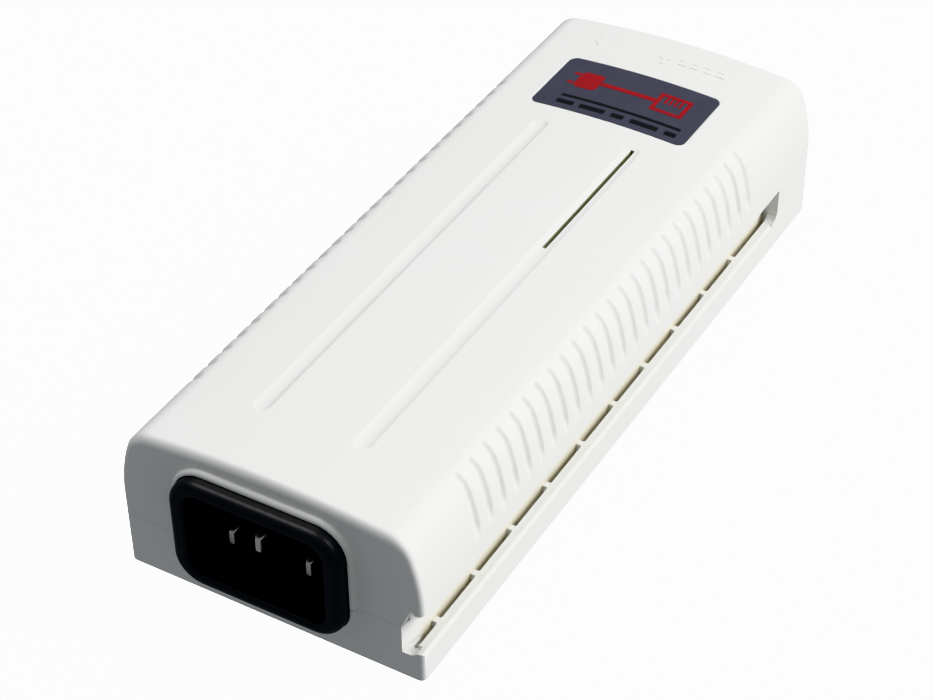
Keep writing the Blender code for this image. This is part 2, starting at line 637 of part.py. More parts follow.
def power_device(device_name, sink_name, x, y, side):
    """A transistor or diode lying upright against a finned plate that stands along the board's edge."""
    sink_x = x + side * 3.0
    base = rectangle(sink_x - 1.0, y - 11.0, sink_x + 1.0, y + 11.0)
    sink = solids(sink_name, [prism(base, SEAT, SEAT + 14.5, "Z")], "aluminium")
    fins = [box(min(sink_x, sink_x + side * 2.6), max(sink_x, sink_x + side * 2.6), y - 10.4 + 5.0 * k,
                y - 9.4 + 5.0 * k, SEAT + 0.6, SEAT + 13.8) for k in range(5)]
    boolean(sink, f"{sink_name}_fins", fins, "UNION")
    body_x = sink_x - side * (1.0 + PART_GAP)
    solids(device_name, [box(min(body_x, body_x - side * 4.4), max(body_x, body_x - side * 4.4), y - 5.0, y + 5.0,
                             SEAT, SEAT + 12.0)], "part_black")


def build_parts():
    flat_block("fuse", -14.5, -34.0, 8.0, 4.6, 8.0, "part_brown")
    disc("varistor", -4.2, -39.0, 5.2, 4.0, "part_blue")
    flat_block("x_capacitor", 11.0, -36.0, 17.5, 8.5, 13.0, "part_yellow")
    build_choke(-10.0, -20.0)
    flat_block("bridge_rectifier", 9.0, -27.0, 15.0, 4.5, 11.0, "part_black")
    capacitor("bulk_capacitor", 9.0, -14.0, 8.0, 19.0)
    disc("y_capacitor", 14.0, 28.5, 3.6, 3.2, "part_blue")
    build_transformer(-1.0, 5.0)
    power_device("primary_transistor", "primary_heatsink", -16.2, 1.0, -1)
    power_device("output_diode", "output_heatsink", 15.0, 12.0, 1)
    capacitor("output_capacitor_1", -6.6, 24.5, 5.0, 16.0)
    capacitor("output_capacitor_2", 5.0, 24.5, 5.0, 16.0)
    flat_block("optocoupler", -16.0, 22.0, 6.4, 4.6, 3.5, "part_black", 0.3)
    flat_block("supply_controller", 12.5, -4.0, 5.0, 3.9, 1.6, "part_black", 0.2)
    flat_block("poe_controller", -4.0, 33.6, 7.0, 5.0, 1.2, "part_black", 0.2)
    for x, name in zip((-7.6, 7.4), JACK_NAMES):
        flat_block(f"lan_magnetics_{name}", x, 43.0, 13.0, 9.0, 5.5, "part_black", 0.3)


# ---- rear end ----

def build_jack(x, name):
    """A jack shell open to the rear, with a latch notch, and a comb of eight contacts inside it."""
    low = SEAT
    rear = HALF_L - 0.6
    front = rear - JACK_DEPTH
    shell = solids(f"rj45_jack_{name}", [prism(rectangle(x - JACK_W / 2, low, x + JACK_W / 2, low + JACK_H),
                                               front, rear)], "jack_plastic")
    mouth = [(x - 5.95, low + 2.4), (x + 5.95, low + 2.4), (x + 5.95, low + 9.2), (x + 3.1, low + 9.2),
             (x + 3.1, low + 10.8), (x + 1.7, low + 10.8), (x + 1.7, low + 12.0), (x - 1.7, low + 12.0),
             (x - 1.7, low + 10.8), (x - 3.1, low + 10.8), (x - 3.1, low + 9.2), (x - 5.95, low + 9.2)]
    boolean(shell, f"jack_mouth_{name}", [prism(mouth, rear - 14.0, rear + 2)])
    bar = box(x - 5.4, x + 5.4, rear - 13.6, rear - 11.6, low + 2.8, low + 8.4)
    comb = solids(f"rj45_contacts_{name}", [bar], "gold")
    pitch = 1.02
    wires = []
    for k in range(8):
        wx = x + (k - 3.5) * pitch
        wire = [(rear - 12.0, low + 3.0), (rear - 4.5, low + 4.2), (rear - 4.5, low + 4.7), (rear - 12.0, low + 3.6)]
        wires.append(prism(wire, wx - 0.2, wx + 0.2, "X"))
    boolean(comb, f"contact_wires_{name}", wires, "UNION")


def build_indicators():
    for name, z in zip(("port", "power"), INDICATOR_Z):
        shell = solids(f"{name}_led", [turned([(2.0, HALF_L - 17.0), (2.0, HALF_L - 13.0), (1.5, HALF_L - 11.6)],
                                              (INDICATOR_X, z), "Y", 16)], "led_green")
        round_shading(shell)
        pipe = solids(f"{name}_light_pipe", [turned([(INDICATOR_R, HALF_L - 11.2), (INDICATOR_R, HALF_L - 0.2),
                                                     (1.0, HALF_L + 0.2)], (INDICATOR_X, z), "Y", 16)], "part_clear")
        round_shading(pipe)


clear_scene()
housing_empty = bpy.data.objects.new("housing_frame", None)
bpy.context.scene.collection.objects.link(housing_empty)
housing_empty.location = (0.0, 0.0, LAND_DROP * MM)

build_cover()
build_base()
build_labels()
build_leads(build_inlet())
build_board()
build_screws()
build_parts()
for jack_x, jack_name in zip(JACK_X, JACK_NAMES):
    build_jack(jack_x, jack_name)
build_indicators()
bpy.context.view_layer.update()
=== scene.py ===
"""Looks of a single-port power-over-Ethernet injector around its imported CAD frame.

Lengths are millimetres until a mesh is made. X runs across the housing, Y from the mains inlet to the
network jacks, and Z up from the lower edge of the side walls.
"""
import math
import bmesh
import bpy
import numpy as np
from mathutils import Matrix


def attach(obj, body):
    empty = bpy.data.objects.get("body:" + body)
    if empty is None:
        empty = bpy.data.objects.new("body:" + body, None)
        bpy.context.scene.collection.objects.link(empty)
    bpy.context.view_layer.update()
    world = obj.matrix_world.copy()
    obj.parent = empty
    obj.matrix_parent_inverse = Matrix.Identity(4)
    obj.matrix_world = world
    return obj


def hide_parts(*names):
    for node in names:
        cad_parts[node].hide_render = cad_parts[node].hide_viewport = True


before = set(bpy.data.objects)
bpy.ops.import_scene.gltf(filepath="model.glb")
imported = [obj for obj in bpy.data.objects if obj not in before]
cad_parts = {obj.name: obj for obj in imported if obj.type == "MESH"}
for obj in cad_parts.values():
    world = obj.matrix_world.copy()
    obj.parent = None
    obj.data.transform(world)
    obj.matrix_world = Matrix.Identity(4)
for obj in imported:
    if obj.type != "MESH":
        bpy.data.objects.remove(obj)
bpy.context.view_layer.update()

# ---- Studio ----
# A pale glowing table top that runs out of sight, a large soft lamp high on the right and a little behind,
# weaker ones overhead and low on the right, and an even fill: top and right side bright, inlet end in shade.
MM = 0.001


def linear(hex_colour):
    """sRGB hex to linear RGBA: the lower part of the sRGB curve is straight, the rest a 2.4 power."""
    channels = np.array([int(hex_colour[i:i + 2], 16) for i in (0, 2, 4)]) / 255
    straight = channels / 12.92
    curved = ((channels + 0.055) / 1.055) ** 2.4
    return (*np.where(channels <= 0.04045, straight, curved).tolist(), 1.0)


def add_node(material, kind, settings=None, links=None):
    """One node with its settings (inputs or properties, by name) and its links (input: (node, output))."""
    node = material.node_tree.nodes.new(kind)
    for key, value in (settings or {}).items():
        if isinstance(key, int) or key in node.inputs:
            node.inputs[key].default_value = value
        else:
            setattr(node, key, value)
    for key, (source, output) in (links or {}).items():
        material.node_tree.links.new(source.outputs[output], node.inputs[key])
    return node


def new_material(name, colour, roughness, metallic=0.0, **sockets):
    """A material and its shader, with every constant on the shader's own sockets."""
    material = bpy.data.materials.new(name)
    material.use_nodes = True
    shader = material.node_tree.nodes["Principled BSDF"]
    values = {"Base Color": linear(colour), "Roughness": roughness, "Metallic": metallic}
    values.update({key.replace("_", " "): value for key, value in sockets.items()})
    for key, value in values.items():
        shader.inputs[key].default_value = value
    return material, shader


def add_object(name, mesh):
    made = bpy.data.objects.new(name, mesh)
    bpy.context.scene.collection.objects.link(made)
    return made


floor_mesh = bpy.data.meshes.new("studio_floor")
FLOOR_REACH = 9.0
floor_mesh.from_pydata([(FLOOR_REACH * x, FLOOR_REACH * y, 0) for x, y in ((-1, -1), (1, -1), (1, 1), (-1, 1))],
                       [], [(0, 1, 2, 3)])
floor = add_object("studio_floor", floor_mesh)
floor_paint, floor_shader = new_material("lit_white_table_matt", "D8D8D7", 0.8, Specular_IOR_Level=0.1,
                                         Emission_Color=linear("FFFFFF"), Emission_Strength=3.0)
floor_place = add_node(floor_paint, "ShaderNodeTexCoord")
floor_grain = add_node(floor_paint, "ShaderNodeTexNoise", {"Scale": 400.0, "Detail": 2.0},
                       {"Vector": (floor_place, "Object")})
floor_bump = add_node(floor_paint, "ShaderNodeBump", {"Strength": 0.02, "Distance": 0.0002},
                      {"Height": (floor_grain, "Fac")})
floor_paint.node_tree.links.new(floor_bump.outputs["Normal"], floor_shader.inputs["Normal"])
floor.data.materials.append(floor_paint)
floor.visible_diffuse = False
floor.visible_glossy = False
floor.visible_shadow = False

CAMERA_PLACE = (156.908, -274.735, 263.09)
CAMERA_TURN = (50.7319, 0.6081, 30.1922)
camera_data = bpy.data.cameras.new("studio_camera")
camera_data.lens = 90.873
camera_data.sensor_width = 36.0
camera_data.clip_end = 20.0
camera = add_object("studio_camera", camera_data)
camera.location = np.array(CAMERA_PLACE) * MM
camera.rotation_euler = np.radians(CAMERA_TURN)
bpy.context.scene.camera = camera


def add_lamp(name, towards, distance, size, watts, colour):
    """A square area lamp at a distance from the object's middle, in the direction given, facing it."""
    lamp_data = bpy.data.lights.new(name, "AREA")
    lamp_data.shape = "SQUARE"
    lamp_data.size = size
    lamp_data.energy = watts
    lamp_data.color = linear(colour)[:3]
    lamp = add_object(name, lamp_data)
    direction = np.array(towards) / np.linalg.norm(towards)
    lamp.location = direction * distance + np.array((0, 0, 0.015))
    across, along, up = direction
    lamp.rotation_euler = (math.acos(up), 0, math.atan2(along, across) + math.pi / 2)
    return lamp


add_lamp("key_softbox", (0.74, 0.42, 0.60), 1.8, 0.8, 29.0, "FFFFFF")
add_lamp("overhead_softbox", (-0.35, 0.10, 0.93), 1.8, 0.9, 15.0, "FFFFFF")
add_lamp("side_softbox", (0.88, 0.42, 0.05), 1.8, 0.6, 12.0, "FFFFFF")
world = bpy.data.worlds.new("studio_fill")
world.use_nodes = True
world.node_tree.nodes["Background"].inputs["Color"].default_value = linear("F4F8FF")
world.node_tree.nodes["Background"].inputs["Strength"].default_value = 0.29
bpy.context.scene.world = world
bpy.context.scene.view_settings.view_transform = "Khronos PBR Neutral"

# ---- Top cover ----
# One injection moulding in white ABS with a fine matt grain. Its sides lean in above the skirt, round
# into a gently crowned top, and carry shallow moulded flutes; it drops over the base and is screwed
# from below. Two fingertip grooves run along the top, and the right one is open as a slit.
LAND_LIFT = 0.4
LENGTH = 140.0
WIDTH = 54.5
HALF_LENGTH = LENGTH / 2
HALF_WIDTH = WIDTH / 2
TOP_HEIGHT = 29.2
CROWN_RADIUS = 185.0
SHOULDER_RADIUS = 5.0
SHOULDER_CENTRE = np.array((20.78, 23.0))
SIDE_RADIUS = 30.0
SIDE_STRAIGHT_HEIGHT = 14.5
WALL = 2.0
END_ROUND_TOP = 1.6
END_ROUND_SIDE = 1.1
PARTING_HEIGHT = 10.2
SKIRT_HEIGHT = 11.6
SKIRT_INNER_X = 24.1
SKIRT_ROUND = 1.0
GROOVE_X = (-9.6, 8.6)
GROOVE_Y = (-57.0, 34.0)
GROOVE_HALF_WIDTH = 1.5
GROOVE_DEPTH = 0.4
SLIT_X = 8.5
SLIT_WIDTH = 0.66
SLIT_Y = (1.0, 33.2)
FLUTE_COUNT = 25
FLUTE_FIRST_Y = -53.3
FLUTE_PITCH = 4.01
FLUTE_HALF_WIDTH = 1.05
FLUTE_DEPTH = 0.62
FLUTE_ENDS = (22.7, 36.1)
FLUTE_FADES = (1.1, 3.0, 0.4)
LABEL_HALF_WIDTH = 15.25
LABEL_Y = (38.7, 55.4)
LABEL_CORNER = 1.5
LABEL_RECESS = 0.14
JACK_X = (-12.8, 4.7)
JACK_OPENING = (16.6, 6.5, 20.5)
INDICATOR_X = 18.0
INDICATOR_HEIGHTS = (12.9, 18.5)
INLET_X = -0.5
INLET_HEIGHT = 14.9
INLET_OPENING = (31.1, 21.1, 5.35)
PARTING_GAP = 0.05


def make_piece(name, vertices, faces):
    """One object at the origin: millimetres become metres, and all stands on the base's 0.4 mm land."""
    mesh = bpy.data.meshes.new(name)
    points = (np.asarray(vertices, float) + (0, 0, LAND_LIFT)) * MM
    mesh.from_pydata(points.tolist(), [], faces)
    return add_object(name, mesh)


def loft(rings):
    """A closed solid through rings of points: quads between neighbouring rings and a cap on each end.

    The volume under all the faces, taken as fans of triangles from each ring's corner, tells which way
    the surface faces, and the faces are turned round if it comes out negative.
    """
    rings = np.asarray(rings, float)
    count, around = rings.shape[:2]
    index = np.arange(count * around).reshape(count, around)
    following = np.roll(index, -1, axis=1)
    quads = np.stack([index[:-1], following[:-1], following[1:], index[1:]], -1).reshape(-1, 4)
    points = rings.reshape(-1, 3)
    a, b, c, d = (points[quads[:, k]] for k in range(4))
    volume = np.einsum("ij,ij->i", a, np.cross(b, c) + np.cross(c, d)).sum()
    for cap, sign in ((rings[0], -1), (rings[-1], 1)):
        volume += sign * np.dot(cap[0], np.cross(cap[1:-1] - cap[0], cap[2:] - cap[0]).sum(0))
    faces = quads.tolist() + [index[0][::-1].tolist(), index[-1].tolist()]
    if volume < 0:
        faces = [face[::-1] for face in faces]
    return points, faces


def joined(*solids):
    """Several solids as one list of points and one list of faces."""
    starts = np.cumsum([0] + [len(points) for points, _ in solids])
    faces = [[start + corner for corner in face] for start, (_, some) in zip(starts, solids) for face in some]
    return np.vstack([points for points, _ in solids]), faces


def turned_inside_out(solid):
    points, faces = solid
    return points, [face[::-1] for face in faces]


def prism(outline, start, end, axis):
    """An outline (a, b) carried straight along an axis. The outline lies across X, Y or Z in that order."""
    outline = np.asarray(outline, float)
    rings = []
    for height in (start, end):
        along = np.full((len(outline), 1), height)
        rings.append(np.insert(outline, "XYZ".index(axis), along.T, axis=1))
    return loft(rings)


def box(x0, x1, y0, y1, z0, z1):
    return prism([(x0, y0), (x1, y0), (x1, y1), (x0, y1)], z0, z1, "Z")


def arc(centre, radius, start, end, steps):
    """Points on a circular arc, angles in degrees, both ends included."""
    angles = np.radians(np.linspace(start, end, steps + 1))
    return np.stack([centre[0] + radius * np.cos(angles), centre[1] + radius * np.sin(angles)], -1)


def rounded_rectangle(middle, width, height, radius, steps=8):
    """Four quarter circles, whose centres are one radius in from the corners, joined by straight runs."""
    corners = [(1, 1, 0), (-1, 1, 90), (-1, -1, 180), (1, -1, 270)]
    return np.vstack([arc((middle[0] + sx * (width / 2 - radius), middle[1] + sy * (height / 2 - radius)),
                          radius, turn, turn + 90, steps) for sx, sy, turn in corners])


def mirrored(outline):
    return np.asarray(outline, float)[::-1] * (-1, 1)


def keep_result(target):
    """The modifiers' result becomes the object's own mesh."""
    shaped = bpy.data.meshes.new_from_object(target.evaluated_get(bpy.context.evaluated_depsgraph_get()))
    target.modifiers.clear()
    before, target.data = target.data, shaped
    bpy.data.meshes.remove(before)


def carve(target, solid, operation="DIFFERENCE"):
    """Cuts a closed solid out of the target, or joins it on."""
    tool = make_piece("cutter", *solid)
    cut = target.modifiers.new("cut", "BOOLEAN")
    cut.solver = "EXACT"
    cut.operation = operation
    cut.object = tool
    keep_result(target)
    bpy.data.objects.remove(tool, do_unlink=True)


def smooth(target, angle=32.0):
    """Smooth shading with a crease wherever two faces meet at more than the angle; big faces stay flat."""
    target.data.shade_smooth()
    target.data.set_sharp_from_angle(angle=math.radians(angle))
    even = target.modifiers.new("even_normals", "WEIGHTED_NORMAL")
    even.keep_sharp = True
    return target


def finish_piece(target, material, slot, *nodes):
    """Gives the piece its material, sets it riding on the one body and hides the CAD nodes it stands for."""
    target.data.materials.clear()
    target.data.materials.append(material)
    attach(target, "root")
    if nodes:
        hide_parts(*nodes)
    return target


def ramp(value, low, high):
    """0 below low, 1 above high, and a smooth cubic between them."""
    t = np.clip((value - low) / (high - low), 0, 1)
    return t * t * (3 - 2 * t)


SHOULDER_LOW = math.degrees(math.atan2(SHOULDER_CENTRE[1] - SIDE_STRAIGHT_HEIGHT,
                                       SHOULDER_CENTRE[0] - HALF_WIDTH + SIDE_RADIUS))
SHOULDER_HIGH = math.degrees(math.atan2(SHOULDER_CENTRE[1] - TOP_HEIGHT + CROWN_RADIUS, SHOULDER_CENTRE[0]))
CROWN_RUN = CROWN_RADIUS * math.radians(90 - SHOULDER_HIGH)
SHOULDER_RUN = SHOULDER_RADIUS * math.radians(SHOULDER_HIGH - SHOULDER_LOW)
SIDE_RUN = SIDE_RADIUS * math.radians(SHOULDER_LOW)


def housing_section(distance):
    """Points and outward normals of the housing's cross-section, by distance along it from the crown line.

    The distance runs over the crown's large circle, then the shoulder's, then the leaning side's, and
    then straight down; a negative distance gives the mirror image on the left.
    """
    side = np.sign(distance) + (distance == 0)
    run = np.abs(distance)
    past_crown = run - CROWN_RUN
    past_shoulder = past_crown - SHOULDER_RUN
    past_side = past_shoulder - SIDE_RUN
    angle = np.radians(90) - run / CROWN_RADIUS
    angle = np.where(past_crown > 0, np.radians(SHOULDER_HIGH) - past_crown / SHOULDER_RADIUS, angle)
    angle = np.where(past_shoulder > 0, np.radians(SHOULDER_LOW) - past_shoulder / SIDE_RADIUS, angle)
    angle = np.where(past_side > 0, 0.0, angle)
    normal = np.stack([np.cos(angle), np.sin(angle)], -1)
    crown = np.array((0, TOP_HEIGHT - CROWN_RADIUS)) + CROWN_RADIUS * normal
    shoulder = SHOULDER_CENTRE + SHOULDER_RADIUS * normal
    leaning = np.array((HALF_WIDTH - SIDE_RADIUS, SIDE_STRAIGHT_HEIGHT)) + SIDE_RADIUS * normal
    straight = np.stack([np.full_like(run, HALF_WIDTH), SIDE_STRAIGHT_HEIGHT - past_side], -1)
    point = np.where((past_crown > 0)[:, None], shoulder, crown)
    point = np.where((past_shoulder > 0)[:, None], leaning, point)
    point = np.where((past_side > 0)[:, None], straight, point)
    mirror = np.stack([side, np.ones_like(side)], -1)
    return point * mirror, normal * mirror


def crown_height(x, lift=0.0):
    """Height of the crown's circle at x, plus a lift."""
    return TOP_HEIGHT - CROWN_RADIUS + np.sqrt(CROWN_RADIUS ** 2 - np.asarray(x) ** 2) + lift


def relief_depth(distance, x, y):
    """How far the skin is pressed in at each point of the grid.

    A groove is a shallow round-bottomed trough: its depth falls with the square of the distance from its
    centre line, which ends in a half circle. A flute is a cosine-squared valley across Y, faded in and
    out along the section. The label's seat is a flat step inside a rounded rectangle.
    """
    depth = np.zeros(np.broadcast(x, y).shape)
    for middle in GROOVE_X:
        past_end = np.maximum(GROOVE_Y[0] + GROOVE_HALF_WIDTH - y, y - GROOVE_Y[1] + GROOVE_HALF_WIDTH)
        away = np.hypot(x - middle, np.maximum(past_end, 0))
        depth += GROOVE_DEPTH * np.maximum(1 - (away / GROOVE_HALF_WIDTH) ** 2, 0)
    number = np.clip(np.round((y - FLUTE_FIRST_Y) / FLUTE_PITCH), 0, FLUTE_COUNT - 1)
    off = np.clip(np.abs(y - FLUTE_FIRST_Y - FLUTE_PITCH * number) / FLUTE_HALF_WIDTH, 0, 1)
    run = np.abs(distance)
    shown = ramp(run, FLUTE_ENDS[0], FLUTE_ENDS[0] + FLUTE_FADES[0])
    shown *= 1 - ramp(run, FLUTE_ENDS[1] - FLUTE_FADES[1], FLUTE_ENDS[1] + FLUTE_FADES[2])
    depth += FLUTE_DEPTH * np.cos(off * math.pi / 2) ** 2 * shown
    flat_x = LABEL_HALF_WIDTH - LABEL_CORNER
    flat_y = (LABEL_Y[1] - LABEL_Y[0]) / 2 - LABEL_CORNER
    out_x = np.maximum(np.abs(x) - flat_x, 0)
    out_y = np.maximum(np.abs(y - sum(LABEL_Y) / 2) - flat_y, 0)
    depth += LABEL_RECESS * (1 - ramp(np.hypot(out_x, out_y), LABEL_CORNER + 0.02, LABEL_CORNER + 0.2))
    return depth


def end_rings(distance, y_end, inset, rounding_top, rounding_side, steps=7):
    """Rings round one end edge, from the side face to the end face.

    The rounding's radius goes from that of the upright corners to that of the top edge with the square
    of the normal's height, and each ring is pulled in and forward by the sine and cosine of its turn.
    """
    point, normal = housing_section(distance)
    radius = rounding_side * normal[:, 0] ** 2 + rounding_top * normal[:, 1] ** 2
    rings = []
    for turn in np.radians(np.linspace(0, 90, steps + 1)):
        pulled = point - normal * (inset + radius * (1 - math.cos(turn)))[:, None]
        y = np.sign(y_end) * (abs(y_end) - radius * (1 - math.sin(turn)))
        rings.append(np.stack([pulled[:, 0], y, pulled[:, 1]], -1))
    return rings


def housing_shell(distance, rows, inset, reach, rounding_top, rounding_side, pressed=False):
    """The closed housing form: section points along one parameter, rows along Y as the other."""
    point, normal = housing_section(distance)
    depth = inset + np.zeros((len(rows), len(distance)))
    if pressed:
        depth += relief_depth(distance[None], point[None, :, 0], rows[:, None])
    skin = point[None] - normal[None] * depth[..., None]
    middle = np.stack([skin[..., 0], np.broadcast_to(rows[:, None], depth.shape), skin[..., 1]], -1)
    front = end_rings(distance, -reach, inset, rounding_top, rounding_side)
    rear = end_rings(distance, reach, inset, rounding_top, rounding_side)
    return loft(front[::-1] + list(middle) + rear)


def lines(*stretches):
    """Grid lines from (start, end, spacing) stretches, sorted, with near-duplicates dropped."""
    values = np.unique(np.concatenate([np.arange(a, b + step * 0.01, step) for a, b, step in stretches]))
    return values[np.insert(np.diff(values) > MERGE_STEP, 0, True)]


# Grid lines lie closer together where the skin bends: round the section at the grooves, the label's side
# edges and the flutes' ends, and along the housing at each flute, the grooves' ends and the label's ends.
MERGE_STEP = 0.07
half_section = lines((0, 21.2, 1.05), (6.9, 11.3, 0.17), (13.6, 15.6, 0.15), (21.4, 27.0, 0.4), (22.6, 25.2, 0.25),
                     (27.0, 37.6, 0.8), (34.8, 36.6, 0.2), (38.6, 51.8, 2.2))
section_distances = np.concatenate([-half_section[::-1], half_section[1:]])
flute_lines = (FLUTE_FIRST_Y + FLUTE_PITCH * np.arange(FLUTE_COUNT)[:, None]
               + FLUTE_HALF_WIDTH * np.linspace(-1, 1, 9)[None]).ravel()
cover_rows = np.sort(np.concatenate([lines((-67.6, -58, 1.6), (-57.2, -55.0, 0.2)), flute_lines,
                                     lines((45.2, 67.6, 1.4), (53.6, 55.7, 0.15)),
                                     lines((32.3, 34.1, 0.15), (38.4, 40.3, 0.15))]))
cover_rows = cover_rows[np.insert(np.diff(cover_rows) > MERGE_STEP, 0, True)]
cover_skin = housing_shell(section_distances, cover_rows, 0.0, HALF_LENGTH, END_ROUND_TOP, END_ROUND_SIDE,
                           pressed=True)
half_inner = lines((0, 50, 2.5))
inner_distances = np.concatenate([-half_inner[::-1], half_inner[1:]])
cover_hollow = housing_shell(inner_distances, np.linspace(-60, 60, 5), WALL, HALF_LENGTH - WALL, 0.6, 0.6)
cover = make_piece("cover_moulding", *joined(cover_skin, turned_inside_out(cover_hollow)))

# Cutters reach well past the housing, to 40 or more in X and Z and to 80 in Y.
below = box(-40, 40, -80, 80, -20, PARTING_HEIGHT + PARTING_GAP)
skirt_edge = np.vstack([[(SKIRT_INNER_X, -20), (SKIRT_INNER_X, SKIRT_HEIGHT)],
                        arc((HALF_WIDTH - SKIRT_ROUND, SKIRT_HEIGHT + SKIRT_ROUND), SKIRT_ROUND, -90, -14, 6),
                        [(40, SKIRT_HEIGHT + SKIRT_ROUND * 0.76), (40, -20)]])
rear_skirt = [(SKIRT_INNER_X, -20), (SKIRT_INNER_X, SKIRT_HEIGHT), (40, SKIRT_HEIGHT), (40, -20)]
end_notch = [(23.5, -20), (23.5, 10.2), (25.2, 14.5), (26.1, 13.6), (26.1, -20)]
side_notch = [(-80, -20), (-80, 13.75), (-69.3, 13.75), (-67.2, SKIRT_HEIGHT), (-67.2, -20)]
inlet_opening = prism(rounded_rectangle((INLET_X, INLET_HEIGHT), *INLET_OPENING), -80, -64, "Y")
carve(cover, below)
for outline, start, end in ((skirt_edge, -67.6, 56.5), (rear_skirt, 56.4, 80), (end_notch, -80, -67.3),
                            (mirrored(skirt_edge), -68.3, 56.5), (mirrored(rear_skirt), 56.4, 80)):
    carve(cover, prism(outline, start, end, "Y"))
carve(cover, prism(side_notch, 26.09, 40, "X"))
carve(cover, inlet_opening)
jack_openings = [box(x - JACK_OPENING[0] / 2, x + JACK_OPENING[0] / 2, 64, 80, JACK_OPENING[1] - 20, JACK_OPENING[2])
                 for x in JACK_X]
indicator_holes = [prism(arc((INDICATOR_X, height), 1.65, 0, 345, 23), 64, 80, "Y") for height in INDICATOR_HEIGHTS]
slit = prism([(SLIT_X - SLIT_WIDTH / 2, SLIT_Y[0]), (SLIT_X + SLIT_WIDTH / 2, SLIT_Y[0]),
              (SLIT_X + SLIT_WIDTH / 2, SLIT_Y[1]), (SLIT_X - SLIT_WIDTH / 2, SLIT_Y[1])], 20, 40, "Z")
carve(cover, joined(*jack_openings, *indicator_holes, slit))
smooth(cover)


def moulded_plastic(name, colour, deep_colour, roughness, grain, relief, ior=1.53):
    """Injection-moulded plastic with a grained mould surface.

    Broad soft clouds, some 20 mm across, stand for the melt's flow; the grain is the mould's spark-eroded
    texture, about 0.1 mm in reality and drawn as coarse as it needs to show. It gives a satin sheen.
    """
    material, shader = new_material(name, colour, roughness, IOR=ior)
    place = add_node(material, "ShaderNodeTexCoord")
    clouds = add_node(material, "ShaderNodeTexNoise", {"Scale": 1 / (20 * MM), "Detail": 2.0},
                      {"Vector": (place, "Object")})
    tint = add_node(material, "ShaderNodeMix", {"data_type": "RGBA", 6: linear(colour), 7: linear(deep_colour)},
                    {0: (clouds, "Fac")})
    pits = add_node(material, "ShaderNodeTexNoise", {"Scale": 1 / (grain * MM), "Detail": 3.0, "Roughness": 0.6},
                    {"Vector": (place, "Object")})
    sheen = add_node(material, "ShaderNodeMapRange", {"To Min": roughness - 0.06, "To Max": roughness + 0.06},
                     {"Value": (pits, "Fac")})
    bump = add_node(material, "ShaderNodeBump", {"Strength": 0.35, "Distance": relief * MM},
                    {"Height": (pits, "Fac")})
    links = material.node_tree.links
    links.new(tint.outputs[2], shader.inputs["Base Color"])
    links.new(sheen.outputs["Result"], shader.inputs["Roughness"])
    links.new(bump.outputs["Normal"], shader.inputs["Normal"])
    return material


white_abs = moulded_plastic("moulded_white_abs_fine_grain", "EDEDEA", "EAEAE5", 0.46, 0.45, 0.03)


def add_painted_shade(material, region, shade):
    """Paints shade into the plastic's colour: tints it towards a darker colour inside a box of object coordinates with
    soft faces.

    Each axis of the box gives a factor from a map range over its distance from the box's middle; the
    factors multiply, so the tint fades out over the last part of every side.
    """
    shader = material.node_tree.nodes["Principled BSDF"]
    place = add_node(material, "ShaderNodeTexCoord")
    apart = add_node(material, "ShaderNodeSeparateXYZ", {}, {0: (place, "Object")})
    factor = None
    for axis, (middle, reach, fade) in enumerate(region):
        offset = add_node(material, "ShaderNodeMath", {"operation": "SUBTRACT", 1: middle * MM}, {0: (apart, axis)})
        away = add_node(material, "ShaderNodeMath", {"operation": "ABSOLUTE"}, {0: (offset, 0)})
        inside = add_node(material, "ShaderNodeMapRange", {"From Min": reach * MM, "From Max": (reach - fade) * MM},
                          {"Value": (away, 0)})
        factor = inside if factor is None else add_node(
            material, "ShaderNodeMath", {"operation": "MULTIPLY"}, {0: (factor, 0), 1: (inside, 0)})
    before = shader.inputs["Base Color"].links[0].from_socket
    tint = add_node(material, "ShaderNodeMix", {"data_type": "RGBA", 7: linear(shade)}, {0: (factor, 0)})
    material.node_tree.links.new(before, tint.inputs[6])
    material.node_tree.links.new(tint.outputs[2], shader.inputs["Base Color"])


# Painted shade: the slit's walls are tinted a dark olive, standing for the shade inside the slit where the housing's
# dark inside shows through.
cover_abs = white_abs.copy()
cover_abs.name = "moulded_white_abs_painted_shade_slit"
add_painted_shade(cover_abs, ((SLIT_X, SLIT_WIDTH / 2 + 0.03, 0.02), (sum(SLIT_Y) / 2, 16.3, 0.1),
                             (TOP_HEIGHT + LAND_LIFT - 1.2, 1.6, 0.1)), "9A9C7E")
finish_piece(cover, cover_abs, "housing_white", "top_cover")

# ---- Base ----
# The lower half of the housing, moulded in the same white ABS. Low rims run along both sides, with an
# open air channel behind each, crossed by thin ribs; the rear corners rise to the cover's skirt, and a
# raised strip underneath is what the injector stands on.
RIM_HEIGHT = 5.8
RIM_INNER_X = 25.45
RIM_ROUND = 0.7
SKIRT_GAP = 0.04
FLANGE_X = (22.9, 24.4)
FLANGE_HEIGHT = 15.0
FLOOR_THICK = 2.0
CHANNEL_FLOOR = 2.6
CHANNEL_Y = (-68.3, 56.5)
CHANNEL_END_ROUND = 2.2
RIB_COUNT = 10
RIB_PITCH = 11.55
RIB_FIRST_Y = -62.3
RIB_THICK = 1.1
LAND_X = (-16.4, 10.6)
RATING_SEAT = (-14.0, 8.2, 12.0, 58.0)
CASE_SCREWS = ((-18.8, -56.5), (18.8, -56.5), (-18.8, 43.0), (18.8, 43.0))


def plan_block(width, length, corner, low, high, foot_round):
    """A rounded plan outline carried up, with its lower edge rounded by rings pulled in on a quarter circle."""
    rings = []
    for turn in np.radians((90, 60, 30, 0)):
        pull = foot_round * (1 - math.cos(turn))
        outline = rounded_rectangle((0, 0), width - 2 * pull, length - 2 * pull, corner - pull, 6)
        rings.append(np.insert(outline, 2, low + foot_round * (1 - math.sin(turn)), axis=1))
    rings.append(np.insert(outline, 2, high, axis=1))
    return loft(rings)


